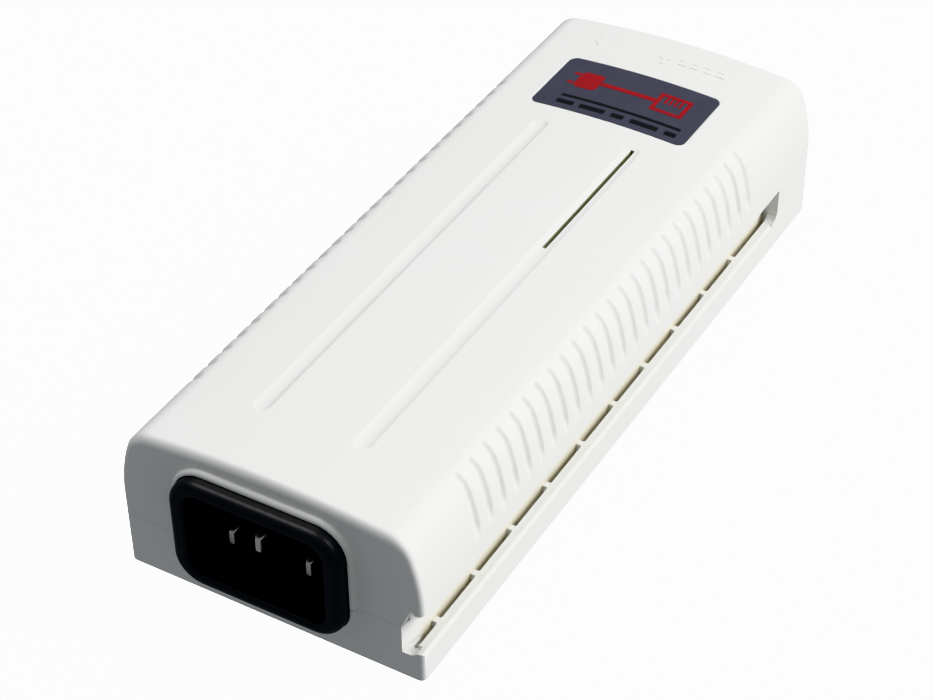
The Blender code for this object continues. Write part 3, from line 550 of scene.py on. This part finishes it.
base = make_piece("base_moulding", *plan_block(WIDTH, LENGTH, END_ROUND_SIDE, 0.0, FLANGE_HEIGHT, 0.25))
carve(base, box(-FLANGE_X[0], FLANGE_X[0], -80, 80, PARTING_HEIGHT, 40))
carve(base, joined(box(-FLANGE_X[1], FLANGE_X[1], -80, -68.0, PARTING_HEIGHT, 41),
                   box(-FLANGE_X[1], FLANGE_X[1], 68.0, 80, PARTING_HEIGHT, 41)))
carve(base, box(-FLANGE_X[0], FLANGE_X[0], -HALF_LENGTH + WALL, HALF_LENGTH - WALL, FLOOR_THICK, 40))
low_side = np.vstack([[(CHANNEL_Y[0], 40), (CHANNEL_Y[0], RIM_HEIGHT)],
                      arc((CHANNEL_Y[1] - CHANNEL_END_ROUND, RIM_HEIGHT + CHANNEL_END_ROUND), CHANNEL_END_ROUND,
                          -90, 0, 7), [(CHANNEL_Y[1], 40)]])
high_side = [(FLANGE_X[1], SKIRT_HEIGHT - SKIRT_GAP), (40, SKIRT_HEIGHT - SKIRT_GAP), (40, 41), (FLANGE_X[1], 41)]
rim_edge = np.vstack([arc((HALF_WIDTH - RIM_ROUND, RIM_HEIGHT - RIM_ROUND), RIM_ROUND, 90, 12, 6),
                      [(40, RIM_HEIGHT - RIM_ROUND * 0.78), (40, 42), (HALF_WIDTH - RIM_ROUND, 42)]])
front_notch = [(24.3, 42), (24.3, 5.0), (25.0, 5.0), (25.6, 5.3), (26.1, RIM_HEIGHT), (40, RIM_HEIGHT), (40, 42)]
slanted_lead_in = [(23.5, -80), (25.0, -80), (25.0, -65.5), (FLANGE_X[1], -65.5), (23.5, -70)]
rib_places = RIB_FIRST_Y + RIB_PITCH * np.arange(RIB_COUNT)
slot_edges = np.concatenate([[CHANNEL_Y[0]], (rib_places[:, None] + (-RIB_THICK / 2, RIB_THICK / 2)).ravel(),
                             [CHANNEL_Y[1]]]).reshape(-1, 2)
carve(base, prism(front_notch, -80, CHANNEL_Y[0], "Y"))
carve(base, prism(slanted_lead_in, 5.0, 42, "Z"))
carve(base, box(-40, 0.2 - FLANGE_X[1], -80, CHANNEL_Y[0] + 0.01, PARTING_HEIGHT, 43))
for side, rim_start in ((1, -80), (-1, CHANNEL_Y[0])):
    near, far = sorted((side * FLANGE_X[1], side * 40))
    carve(base, prism(low_side, near, far, "X"))
    for outline, start, end in ((high_side, CHANNEL_Y[1] - 0.01, 80),
                                (rim_edge, rim_start, CHANNEL_Y[1] - CHANNEL_END_ROUND)):
        carve(base, prism(outline if side > 0 else mirrored(outline), start, end, "Y"))
    inner, outer = sorted((side * FLANGE_X[1], side * RIM_INNER_X))
    carve(base, joined(*[prism(rounded_rectangle(((inner + outer) / 2, (start + end) / 2), outer - inner,
                                                 end - start, 0.3, 3), CHANNEL_FLOOR, 20, "Z")
                         for start, end in slot_edges]))
carve(base, inlet_opening)
carve(base, joined(*[box(x - JACK_OPENING[0] / 2, x + JACK_OPENING[0] / 2, 64, 80, JACK_OPENING[1], 30)
                     for x in JACK_X]))
carve(base, prism(rounded_rectangle((sum(LAND_X) / 2, 0), LAND_X[1] - LAND_X[0], LENGTH - 1.6, 2.0, 5),
                  -LAND_LIFT, 1.0, "Z"), "UNION")
carve(base, box(*RATING_SEAT, -5, -LAND_LIFT + 0.35))
carve(base, joined(*[prism(arc(spot, 3.0, 0, 345, 23), -5, 3.6, "Z") for spot in CASE_SCREWS]))
edge_break = base.modifiers.new("edge_break", "BEVEL")
edge_break.width = 0.22 * MM
edge_break.segments = 2
edge_break.limit_method = "ANGLE"
edge_break.angle_limit = math.radians(50)
edge_break.use_clamp_overlap = True
keep_result(base)
smooth(base)


# Painted shade: the flange wall inside each air channel is tinted tan, strongest just below the rim's top, standing for
# the shade and warm bounce light in the channel.
base_abs = white_abs.copy()
base_abs.name = "moulded_white_abs_painted_shade_channels"
for side in (1, -1):
    add_painted_shade(base_abs, ((side * 24.2, 0.4, 0.1), (-4.5, 62.0, 1.0), (4.6, 4.0, 3.0)), "D5CFBA")
finish_piece(base, base_abs, "housing_white", "bottom_base")

# ---- Inlet collar ----
# A raised bead around the inlet's opening, part of both mouldings: its upper part belongs to the cover and
# its lower part to the base, and the parting line shows as a break on each side.
COLLAR_WIDTH = 32.7
COLLAR_HEIGHT = 22.8
COLLAR_CORNER = 6.4
COLLAR_STAND = 0.9
COLLAR_ROUND = 0.75
COLLAR_ROOT_Y = -69.6
COLLAR_SPLIT = 0.14


def inlet_outline(y, width, height, corner, grow=0.0):
    """A rounded rectangle round the inlet's centre at one y, grown by the same distance on all sides."""
    outline = rounded_rectangle((INLET_X, INLET_HEIGHT), width + 2 * grow, height + 2 * grow, corner + grow)
    return np.insert(outline, 1, y, axis=1)


def quarter_round(y_face, radius, steps=5):
    """(y, inset) steps from the side of a rounded edge to its face, on a quarter circle."""
    turns = np.radians(np.linspace(0, 90, steps + 1))
    return list(zip(y_face + radius * (1 - np.sin(turns)), radius * (1 - np.cos(turns))))


collar_steps = [(COLLAR_ROOT_Y, 0.0)] + quarter_round(-HALF_LENGTH - COLLAR_STAND, COLLAR_ROUND)
collar_plate = loft([inlet_outline(y, COLLAR_WIDTH, COLLAR_HEIGHT, COLLAR_CORNER, -inset) for y, inset in collar_steps])
for name, low, high in (("upper", -20, PARTING_HEIGHT + COLLAR_SPLIT), ("lower", PARTING_HEIGHT - 0.02, 60)):
    collar = make_piece(f"inlet_collar_{name}", *collar_plate)
    carve(collar, inlet_opening)
    carve(collar, box(-60, 60, -90, -60, low, high))
    smooth(collar)
    finish_piece(collar, white_abs, "housing_white")

# ---- Mains inlet ----
# A three-pole appliance inlet clipped into the front end: a black glass-filled polyamide shroud, moulded
# with a satin skin and a rounded front edge, around three nickel-plated brass blades.
# Width, height and corner radius of the part behind the wall, of the shroud, and of the hollow in it.
INLET_BODY = (28.0, 19.4, 4.5)
SHROUD = (30.8, 20.8, 5.2)
CAVITY = (25.0, 16.4, 3.0)
SHROUD_FACE_Y = -73.3
SHROUD_BACK_Y = -66.5
SHROUD_EDGE_ROUND = 1.4
CAVITY_FLOOR_Y = -56.3
CAVITY_EDGE_ROUND = 0.6
INLET_BACK_Y = -49.5
BLADE_THICK = 2.0
BLADE_HEIGHT = 4.0
BLADE_BACK_Y = -45.5
BLADE_TAPER = ((0.0, 0.55), (0.25, 0.4), (1.2, 0.05), (1.6, 0.0))
BLADES = (("line", -7.0, -2.0, -68.8), ("earth", 0.0, 2.0, -71.6), ("neutral", 7.0, -2.0, -68.8))


shroud_rings = [inlet_outline(INLET_BACK_Y, *INLET_BODY), inlet_outline(SHROUD_BACK_Y, *INLET_BODY),
                inlet_outline(SHROUD_BACK_Y + 0.01, *SHROUD)]
shroud_rings += [inlet_outline(y, *SHROUD, -inset) for y, inset in quarter_round(SHROUD_FACE_Y, SHROUD_EDGE_ROUND, 8)]
shroud_rings += [inlet_outline(y, *CAVITY, out) for y, out in quarter_round(SHROUD_FACE_Y, CAVITY_EDGE_ROUND)[::-1]]
shroud_rings.append(inlet_outline(CAVITY_FLOOR_Y, *CAVITY))
shroud = smooth(make_piece("inlet_shroud", *loft(shroud_rings)))
black_polyamide = moulded_plastic("moulded_black_polyamide_satin", "141416", "101012", 0.46, 0.5, 0.02, 1.5)
finish_piece(shroud, black_polyamide, "inlet_black", "inlet_shell")


def plated_metal(name, colour, roughness, grain, stretch, relief):
    """Rolled or drawn metal: very fine drawing lines, a noise stretched along one axis, in roughness and bump."""
    material, shader = new_material(name, colour, roughness, metallic=1.0)
    place = add_node(material, "ShaderNodeTexCoord")
    drawn = add_node(material, "ShaderNodeMapping", {"Scale": stretch}, {"Vector": (place, "Object")})
    strokes = add_node(material, "ShaderNodeTexNoise", {"Scale": 1 / (grain * MM), "Detail": 2.0},
                       {"Vector": (drawn, "Vector")})
    sheen = add_node(material, "ShaderNodeMapRange", {"To Min": roughness - 0.05, "To Max": roughness + 0.1},
                     {"Value": (strokes, "Fac")})
    bump = add_node(material, "ShaderNodeBump", {"Strength": 0.25, "Distance": relief * MM},
                    {"Height": (strokes, "Fac")})
    material.node_tree.links.new(sheen.outputs["Result"], shader.inputs["Roughness"])
    material.node_tree.links.new(bump.outputs["Normal"], shader.inputs["Normal"])
    return material


nickel_plate = plated_metal("drawn_brass_nickel_plated", "D6D5D0", 0.24, 0.3, (1.0, 0.1, 1.0), 0.01)
for name, across, above, tip in BLADES:
    middle = (INLET_X + across, INLET_HEIGHT + above)
    steps = [(tip + back, pull) for back, pull in BLADE_TAPER] + [(BLADE_BACK_Y, 0.0)]
    rings = [np.insert(rounded_rectangle(middle, BLADE_THICK - 2 * pull, BLADE_HEIGHT - 2.6 * pull, 0.25, 3), 1, y,
                       axis=1) for y, pull in steps]
    blade = smooth(make_piece(f"inlet_blade_{name}", *loft(rings)))
    finish_piece(blade, nickel_plate, "plated_brass", f"inlet_pin_{name}")

# ---- Name label ----
# A thin polyester film with a satin slate face, bonded in its shallow seat near the jacks. The print is a
# plain pictogram of our own, a mains plug, a cable and a network jack in red over black rules.
LABEL_THICK = 0.1
LABEL_BELOW_CROWN = 0.03
PRINT_THICK = 0.025


def on_crown(name, outlines, lift, thick, step=1.0):
    """Flat outlines in plan raised to slabs and cut every millimetre across, then bent over the crown.

    Each point's height is the crown's circle at its X, plus the slab's own height above its lower face.
    """
    solid = joined(*[prism(outline, 0.0, thick, "Z") for outline in outlines])
    points = solid[0]
    made = make_piece(name, points, solid[1])
    across = np.arange(math.ceil(points[:, 0].min() / step) * step, points[:, 0].max(), step)
    shape = bmesh.new()
    shape.from_mesh(made.data)
    for x in across:
        bmesh.ops.bisect_plane(shape, geom=shape.verts[:] + shape.edges[:] + shape.faces[:], dist=1e-7,
                               plane_co=(x * MM, 0, 0), plane_no=(1, 0, 0))
    shape.to_mesh(made.data)
    shape.free()
    place = np.zeros(len(made.data.vertices) * 3)
    made.data.vertices.foreach_get("co", place)
    place = place.reshape(-1, 3)
    place[:, 2] += crown_height(place[:, 0] / MM, lift) * MM
    made.data.vertices.foreach_set("co", place.ravel())
    made.data.update()
    return smooth(made)


label_middle = (0.0, sum(LABEL_Y) / 2)
label_film = on_crown("name_label_film", [rounded_rectangle(label_middle, 2 * LABEL_HALF_WIDTH,
                                                            LABEL_Y[1] - LABEL_Y[0], LABEL_CORNER)],
                      -LABEL_BELOW_CROWN - LABEL_THICK, LABEL_THICK)


def printed_film(name, colour, deep_colour, roughness):
    """Screen-printed polyester film: a satin top coat, a faint mottle in the ink and a soft clear gloss."""
    material, shader = new_material(name, colour, roughness, IOR=1.5, Coat_Weight=0.25, Coat_Roughness=0.3)
    place = add_node(material, "ShaderNodeTexCoord")
    mottle = add_node(material, "ShaderNodeTexNoise", {"Scale": 1 / (6 * MM), "Detail": 4.0, "Roughness": 0.65},
                      {"Vector": (place, "Object")})
    ink = add_node(material, "ShaderNodeMix", {"data_type": "RGBA", 6: linear(colour), 7: linear(deep_colour)},
                   {0: (mottle, "Fac")})
    weave = add_node(material, "ShaderNodeTexNoise", {"Scale": 1 / (0.35 * MM), "Detail": 1.0},
                     {"Vector": (place, "Object")})
    bump = add_node(material, "ShaderNodeBump", {"Strength": 0.2, "Distance": 0.01 * MM}, {"Height": (weave, "Fac")})
    material.node_tree.links.new(ink.outputs[2], shader.inputs["Base Color"])
    material.node_tree.links.new(bump.outputs["Normal"], shader.inputs["Normal"])
    return material


slate_film = printed_film("polyester_film_satin_slate", "4B4B59", "3F3F4B", 0.42)
finish_piece(label_film, slate_film, "label_slate", "name_label")


def bar(x0, x1, y0, y1):
    return np.array([(x0, y0), (x1, y0), (x1, y1), (x0, y1)])


plug_body = rounded_rectangle((-8.4, 48.9), 4.6, 5.2, 1.0, 4)
plug_pins = [bar(-12.1, -10.85, 50.1, 50.8), bar(-12.1, -10.85, 47.0, 47.7)]
cable = [bar(-6.0, 4.9, 48.4, 49.5)]
jack_frame = [bar(5.0, 11.4, 46.0, 46.8), bar(5.0, 11.4, 51.0, 51.8), bar(5.0, 5.8, 46.85, 50.95),
              bar(10.6, 11.4, 46.85, 50.95)]
jack_teeth = [bar(6.6 + 0.95 * k, 7.05 + 0.95 * k, 48.9, 50.95) for k in range(4)]
red_ink = printed_film("screen_ink_red", "A3141A", "8E1016", 0.45)
black_ink = printed_film("screen_ink_black", "08080A", "050506", 0.45)
red_print = on_crown("label_pictogram_red", [plug_body, *plug_pins, *cable, *jack_frame, *jack_teeth],
                     -LABEL_BELOW_CROWN, PRINT_THICK)
finish_piece(red_print, red_ink, "label_slate")
rules = [bar(-10.8, 13.0, 42.6, 43.3)] + [bar(x, x + width, 40.3, 41.5) for x, width in
                                          ((-10.8, 3.4), (-6.2, 5.0), (0.2, 2.4), (4.0, 5.4), (10.8, 2.2))]
black_print = on_crown("label_rules_black", rules, -LABEL_BELOW_CROWN, PRINT_THICK)
finish_piece(black_print, black_ink, "label_slate")

# ---- Raised marks ----
# Small signs moulded 0.1 mm proud in the cover's top beside the jacks, in the same white ABS: an arrow
# into the housing at the left jack, and an arrow out with two rows of short dashes at the right one.
MARK_STAND = 0.1
MARK_SUNK = 0.05


def arrow(x, y, direction):
    """An arrow along Y: a triangle for its head and a short bar for its tail."""
    head = np.array([(x - 1.2, y), (x + 1.2, y), (x, y + direction * 1.6)])
    tail = bar(x - 0.35, x + 0.35, *sorted((y, y - direction * 1.6)))
    return [head if direction > 0 else head[::-1], tail]


marks = on_crown("jack_marks_raised", [*arrow(-12.8, 62.4, -1), *arrow(0.4, 62.0, 1),
                                       *[bar(3.0 + 2.6 * k, 4.8 + 2.6 * k, 61.6, 62.2) for k in range(4)],
                                       *[bar(3.0 + 2.6 * k, 4.2 + 2.6 * k, 63.0, 63.6) for k in range(4)]],
                 -MARK_SUNK, MARK_STAND + MARK_SUNK)
finish_piece(marks, white_abs, "housing_white")

# ---- Network jacks ----
# Two eight-way jacks on the board, moulded in black glass-filled polyester with gold-plated contact wires,
# and two clear pipes that carry the light of the status lamps to the rear face.


def softened_copy(name, node, edge):
    """A copy of a CAD node with its doubles merged and flat faces rejoined, and its edges broken by a bevel."""
    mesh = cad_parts[node].data.copy()
    shape = bmesh.new()
    shape.from_mesh(mesh)
    bmesh.ops.remove_doubles(shape, verts=shape.verts, dist=1e-6)
    bmesh.ops.dissolve_limit(shape, angle_limit=math.radians(1), verts=shape.verts, edges=shape.edges)
    shape.to_mesh(mesh)
    shape.free()
    made = add_object(name, mesh)
    if edge:
        broken = made.modifiers.new("edge_break", "BEVEL")
        broken.width = edge * MM
        broken.segments = 2
        broken.limit_method = "ANGLE"
        broken.angle_limit = math.radians(40)
    return smooth(made)


black_polyester = moulded_plastic("moulded_black_polyester_fine_grain", "1A1A1C", "141416", 0.45, 0.4, 0.02)
gold_plate = plated_metal("phosphor_bronze_gold_plated", "E3B75C", 0.22, 0.2, (1.0, 0.15, 1.0), 0.005)
zinc_steel = plated_metal("pressed_steel_zinc_plated", "B4B6B9", 0.34, 0.4, (1.0, 1.0, 0.3), 0.01)
for way in ("in", "out"):
    jack = softened_copy(f"network_jack_{way}", f"rj45_jack_{way}", 0.2)
    finish_piece(jack, black_polyester, "jack_plastic", f"rj45_jack_{way}")
    comb = softened_copy(f"network_contacts_{way}", f"rj45_contacts_{way}", 0.0)
    finish_piece(comb, gold_plate, "contact_gold", f"rj45_contacts_{way}")


def clear_plastic(name, colour, roughness, transmission):
    """Clear or diffused moulded polycarbonate: light passes through and scatters on faint flow streaks."""
    material, shader = new_material(name, colour, roughness, IOR=1.58, Transmission_Weight=transmission)
    place = add_node(material, "ShaderNodeTexCoord")
    streaks = add_node(material, "ShaderNodeTexNoise", {"Scale": 1 / (1.5 * MM), "Detail": 2.0},
                       {"Vector": (place, "Object")})
    bump = add_node(material, "ShaderNodeBump", {"Strength": 0.2, "Distance": 0.02 * MM},
                    {"Height": (streaks, "Fac")})
    material.node_tree.links.new(bump.outputs["Normal"], shader.inputs["Normal"])
    return material


pipe_clear = clear_plastic("moulded_polycarbonate_clear", "E6EEE8", 0.18, 0.85)
lamp_green = clear_plastic("cast_epoxy_diffused_green", "4FB86A", 0.35, 0.4)
PIPE_RADIUS = 1.5
PIPE_PROFILE = ((58.8, 0.3), (59.1, 0.0), (69.75, 0.0), (69.95, 0.08), (70.1, 0.3), (70.18, 0.7))
for level, height in zip(("port", "power"), INDICATOR_HEIGHTS):
    rings = [np.insert(arc((INDICATOR_X, height), PIPE_RADIUS - pull, 0, 345, 23), 1, y, axis=1)
             for y, pull in PIPE_PROFILE]
    pipe = smooth(make_piece(f"light_pipe_{level}", *loft(rings)))
    finish_piece(pipe, pipe_clear, "pipe_clear", f"{level}_light_pipe")

# ---- Fixings and rating label ----
# Four zinc-plated pan-head screws with a cross recess hold the cover from below, in counterbored holes.
# A coated paper label printed with plain black rules lies in its seat under the base.
CROSS_RECESS = (1.5, 0.28)
for number, (x, y) in enumerate(CASE_SCREWS, 1):
    screw = softened_copy(f"case_screw_crossed_{number}", f"case_screw_{number}", 0.0)
    for half_x, half_y in (CROSS_RECESS, CROSS_RECESS[::-1]):
        carve(screw, box(x - half_x, x + half_x, y - half_y, y + half_y, 0.0, 2.2))
    smooth(screw)
    finish_piece(screw, zinc_steel, "steel", f"case_screw_{number}")

paper_low = -LAND_LIFT + 0.1
PAPER_MARGIN = 0.3
paper_x = (RATING_SEAT[0] + PAPER_MARGIN, RATING_SEAT[1] - PAPER_MARGIN)
paper_y = (RATING_SEAT[2] + PAPER_MARGIN, RATING_SEAT[3] - PAPER_MARGIN)
paper = make_piece("rating_label_paper", *prism(rounded_rectangle(
    (sum(paper_x) / 2, sum(paper_y) / 2), paper_x[1] - paper_x[0], paper_y[1] - paper_y[0], 1.0),
    paper_low, paper_low + 0.12, "Z"))
paper_white = printed_film("coated_label_paper_white", "DCDCD8", "D4D4CE", 0.5)
finish_piece(smooth(paper), paper_white, "label_paper", "rating_label")
RULE_WIDTHS = (14, 17, 11, 16, 9, 15, 12, 17, 10)
RULE_PITCH = 4.2
rating_rules = make_piece("rating_label_rules", *joined(*[
    box(paper_x[0] + 2, paper_x[0] + 2 + width, paper_y[0] + 4 + RULE_PITCH * row, paper_y[0] + 5.1 + RULE_PITCH * row,
        paper_low - 0.02, paper_low + 0.01) for row, width in enumerate(RULE_WIDTHS)]))
finish_piece(smooth(rating_rules), black_ink, "label_paper")

# ---- Inside ----
# The supply's board and its parts, seen only through the slit and in an opened view. They keep their CAD
# shapes, and each is finished as what it is: laminate, ferrite, enamelled wire, sleeves and castings.


def laminate(name, mask_colour, trace_colour, trace):
    """Epoxy-glass laminate under solder mask: patches of paler green, some 3 mm wide, where copper lies below."""
    material, shader = new_material(name, mask_colour, 0.38, IOR=1.5, Coat_Weight=0.3, Coat_Roughness=0.2)
    place = add_node(material, "ShaderNodeTexCoord")
    cells = add_node(material, "ShaderNodeTexVoronoi", {"distance": "CHEBYCHEV", "Scale": 1 / (trace * MM)},
                     {"Vector": (place, "Object")})
    runs = add_node(material, "ShaderNodeMapRange", {"From Min": 0.35, "From Max": 0.42},
                    {"Value": (cells, "Distance")})
    tint = add_node(material, "ShaderNodeMix", {"data_type": "RGBA", 6: linear(trace_colour), 7: linear(mask_colour)},
                    {0: (runs, "Result")})
    bump = add_node(material, "ShaderNodeBump", {"Strength": 0.3, "Distance": 0.03 * MM}, {"Height": (runs, "Result")})
    material.node_tree.links.new(tint.outputs[2], shader.inputs["Base Color"])
    material.node_tree.links.new(bump.outputs["Normal"], shader.inputs["Normal"])
    return material


def wound_wire(name, colour, pitch, direction):
    """Enamelled wire laid side by side: ridges round the winding at the wire's pitch."""
    material, shader = new_material(name, colour, 0.3, metallic=0.8, Coat_Weight=0.5, Coat_Roughness=0.15)
    place = add_node(material, "ShaderNodeTexCoord")
    turns = add_node(material, "ShaderNodeTexWave", {"bands_direction": direction, "Scale": math.pi / (10 * pitch * MM),
                                                     "Distortion": 0.4}, {"Vector": (place, "Object")})
    bump = add_node(material, "ShaderNodeBump", {"Strength": 0.8, "Distance": 0.15 * MM}, {"Height": (turns, "Fac")})
    material.node_tree.links.new(bump.outputs["Normal"], shader.inputs["Normal"])
    return material


INSIDE_FINISHES = (
    (laminate("epoxy_glass_laminate_green", "1F5A38", "2F7A4C", 3.0), ("circuit_board",)),
    (moulded_plastic("pressed_fish_paper_grey", "9A9C98", "8C8E8A", 0.7, 0.8, 0.04), ("insulation_sheet",)),
    (moulded_plastic("moulded_epoxy_black", "1B1B1D", "151517", 0.5, 0.5, 0.03),
     ("bridge_rectifier", "transformer_bobbin", "primary_transistor", "output_diode", "optocoupler",
      "supply_controller", "poe_controller", "lan_magnetics_in", "lan_magnetics_out")),
    (moulded_plastic("shrunk_sleeve_black", "16171B", "101114", 0.3, 1.2, 0.02),
     ("bulk_capacitor", "output_capacitor_1", "output_capacitor_2")),
    (moulded_plastic("flame_retardant_box_yellow", "D9B23A", "CDA532", 0.42, 0.8, 0.03), ("x_capacitor",)),
    (moulded_plastic("dipped_epoxy_blue", "2F5D9B", "274F86", 0.25, 1.5, 0.05), ("varistor", "y_capacitor")),
    (moulded_plastic("wire_sleeve_blue", "2C62B0", "2554A0", 0.4, 0.8, 0.02), ("inlet_lead_neutral",)),
    (moulded_plastic("moulded_phenolic_brown", "6B3F24", "5C341C", 0.45, 0.6, 0.03), ("fuse",)),
    (moulded_plastic("wire_sleeve_brown", "6A4026", "5A341E", 0.4, 0.8, 0.02), ("inlet_lead_line",)),
    (moulded_plastic("wire_sleeve_green_yellow", "6FA832", "5F9A2A", 0.4, 0.8, 0.02), ("inlet_lead_earth",)),
    (moulded_plastic("sintered_ferrite_grey", "3A3A3D", "303033", 0.62, 0.3, 0.05),
     ("choke_core", "transformer_core_front", "transformer_core_rear")),
    (wound_wire("enamelled_copper_wire", "B8642E", 0.8, "Z"), ("choke_winding_left", "choke_winding_right")),
    (moulded_plastic("polyester_tape_yellow", "D8C24A", "CDB63E", 0.3, 2.0, 0.03), ("transformer_winding",)),
    (plated_metal("extruded_aluminium_plain", "C2C5C8", 0.36, 0.5, (1.0, 1.0, 0.08), 0.02),
     ("primary_heatsink", "output_heatsink")),
    (zinc_steel, ("board_screw_1", "board_screw_2", "board_screw_3", "board_screw_4")),
    (lamp_green, ("power_led", "port_led")),
)
for finish, nodes in INSIDE_FINISHES:
    for node in nodes:
        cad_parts[node].data.materials.clear()
        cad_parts[node].data.materials.append(finish)
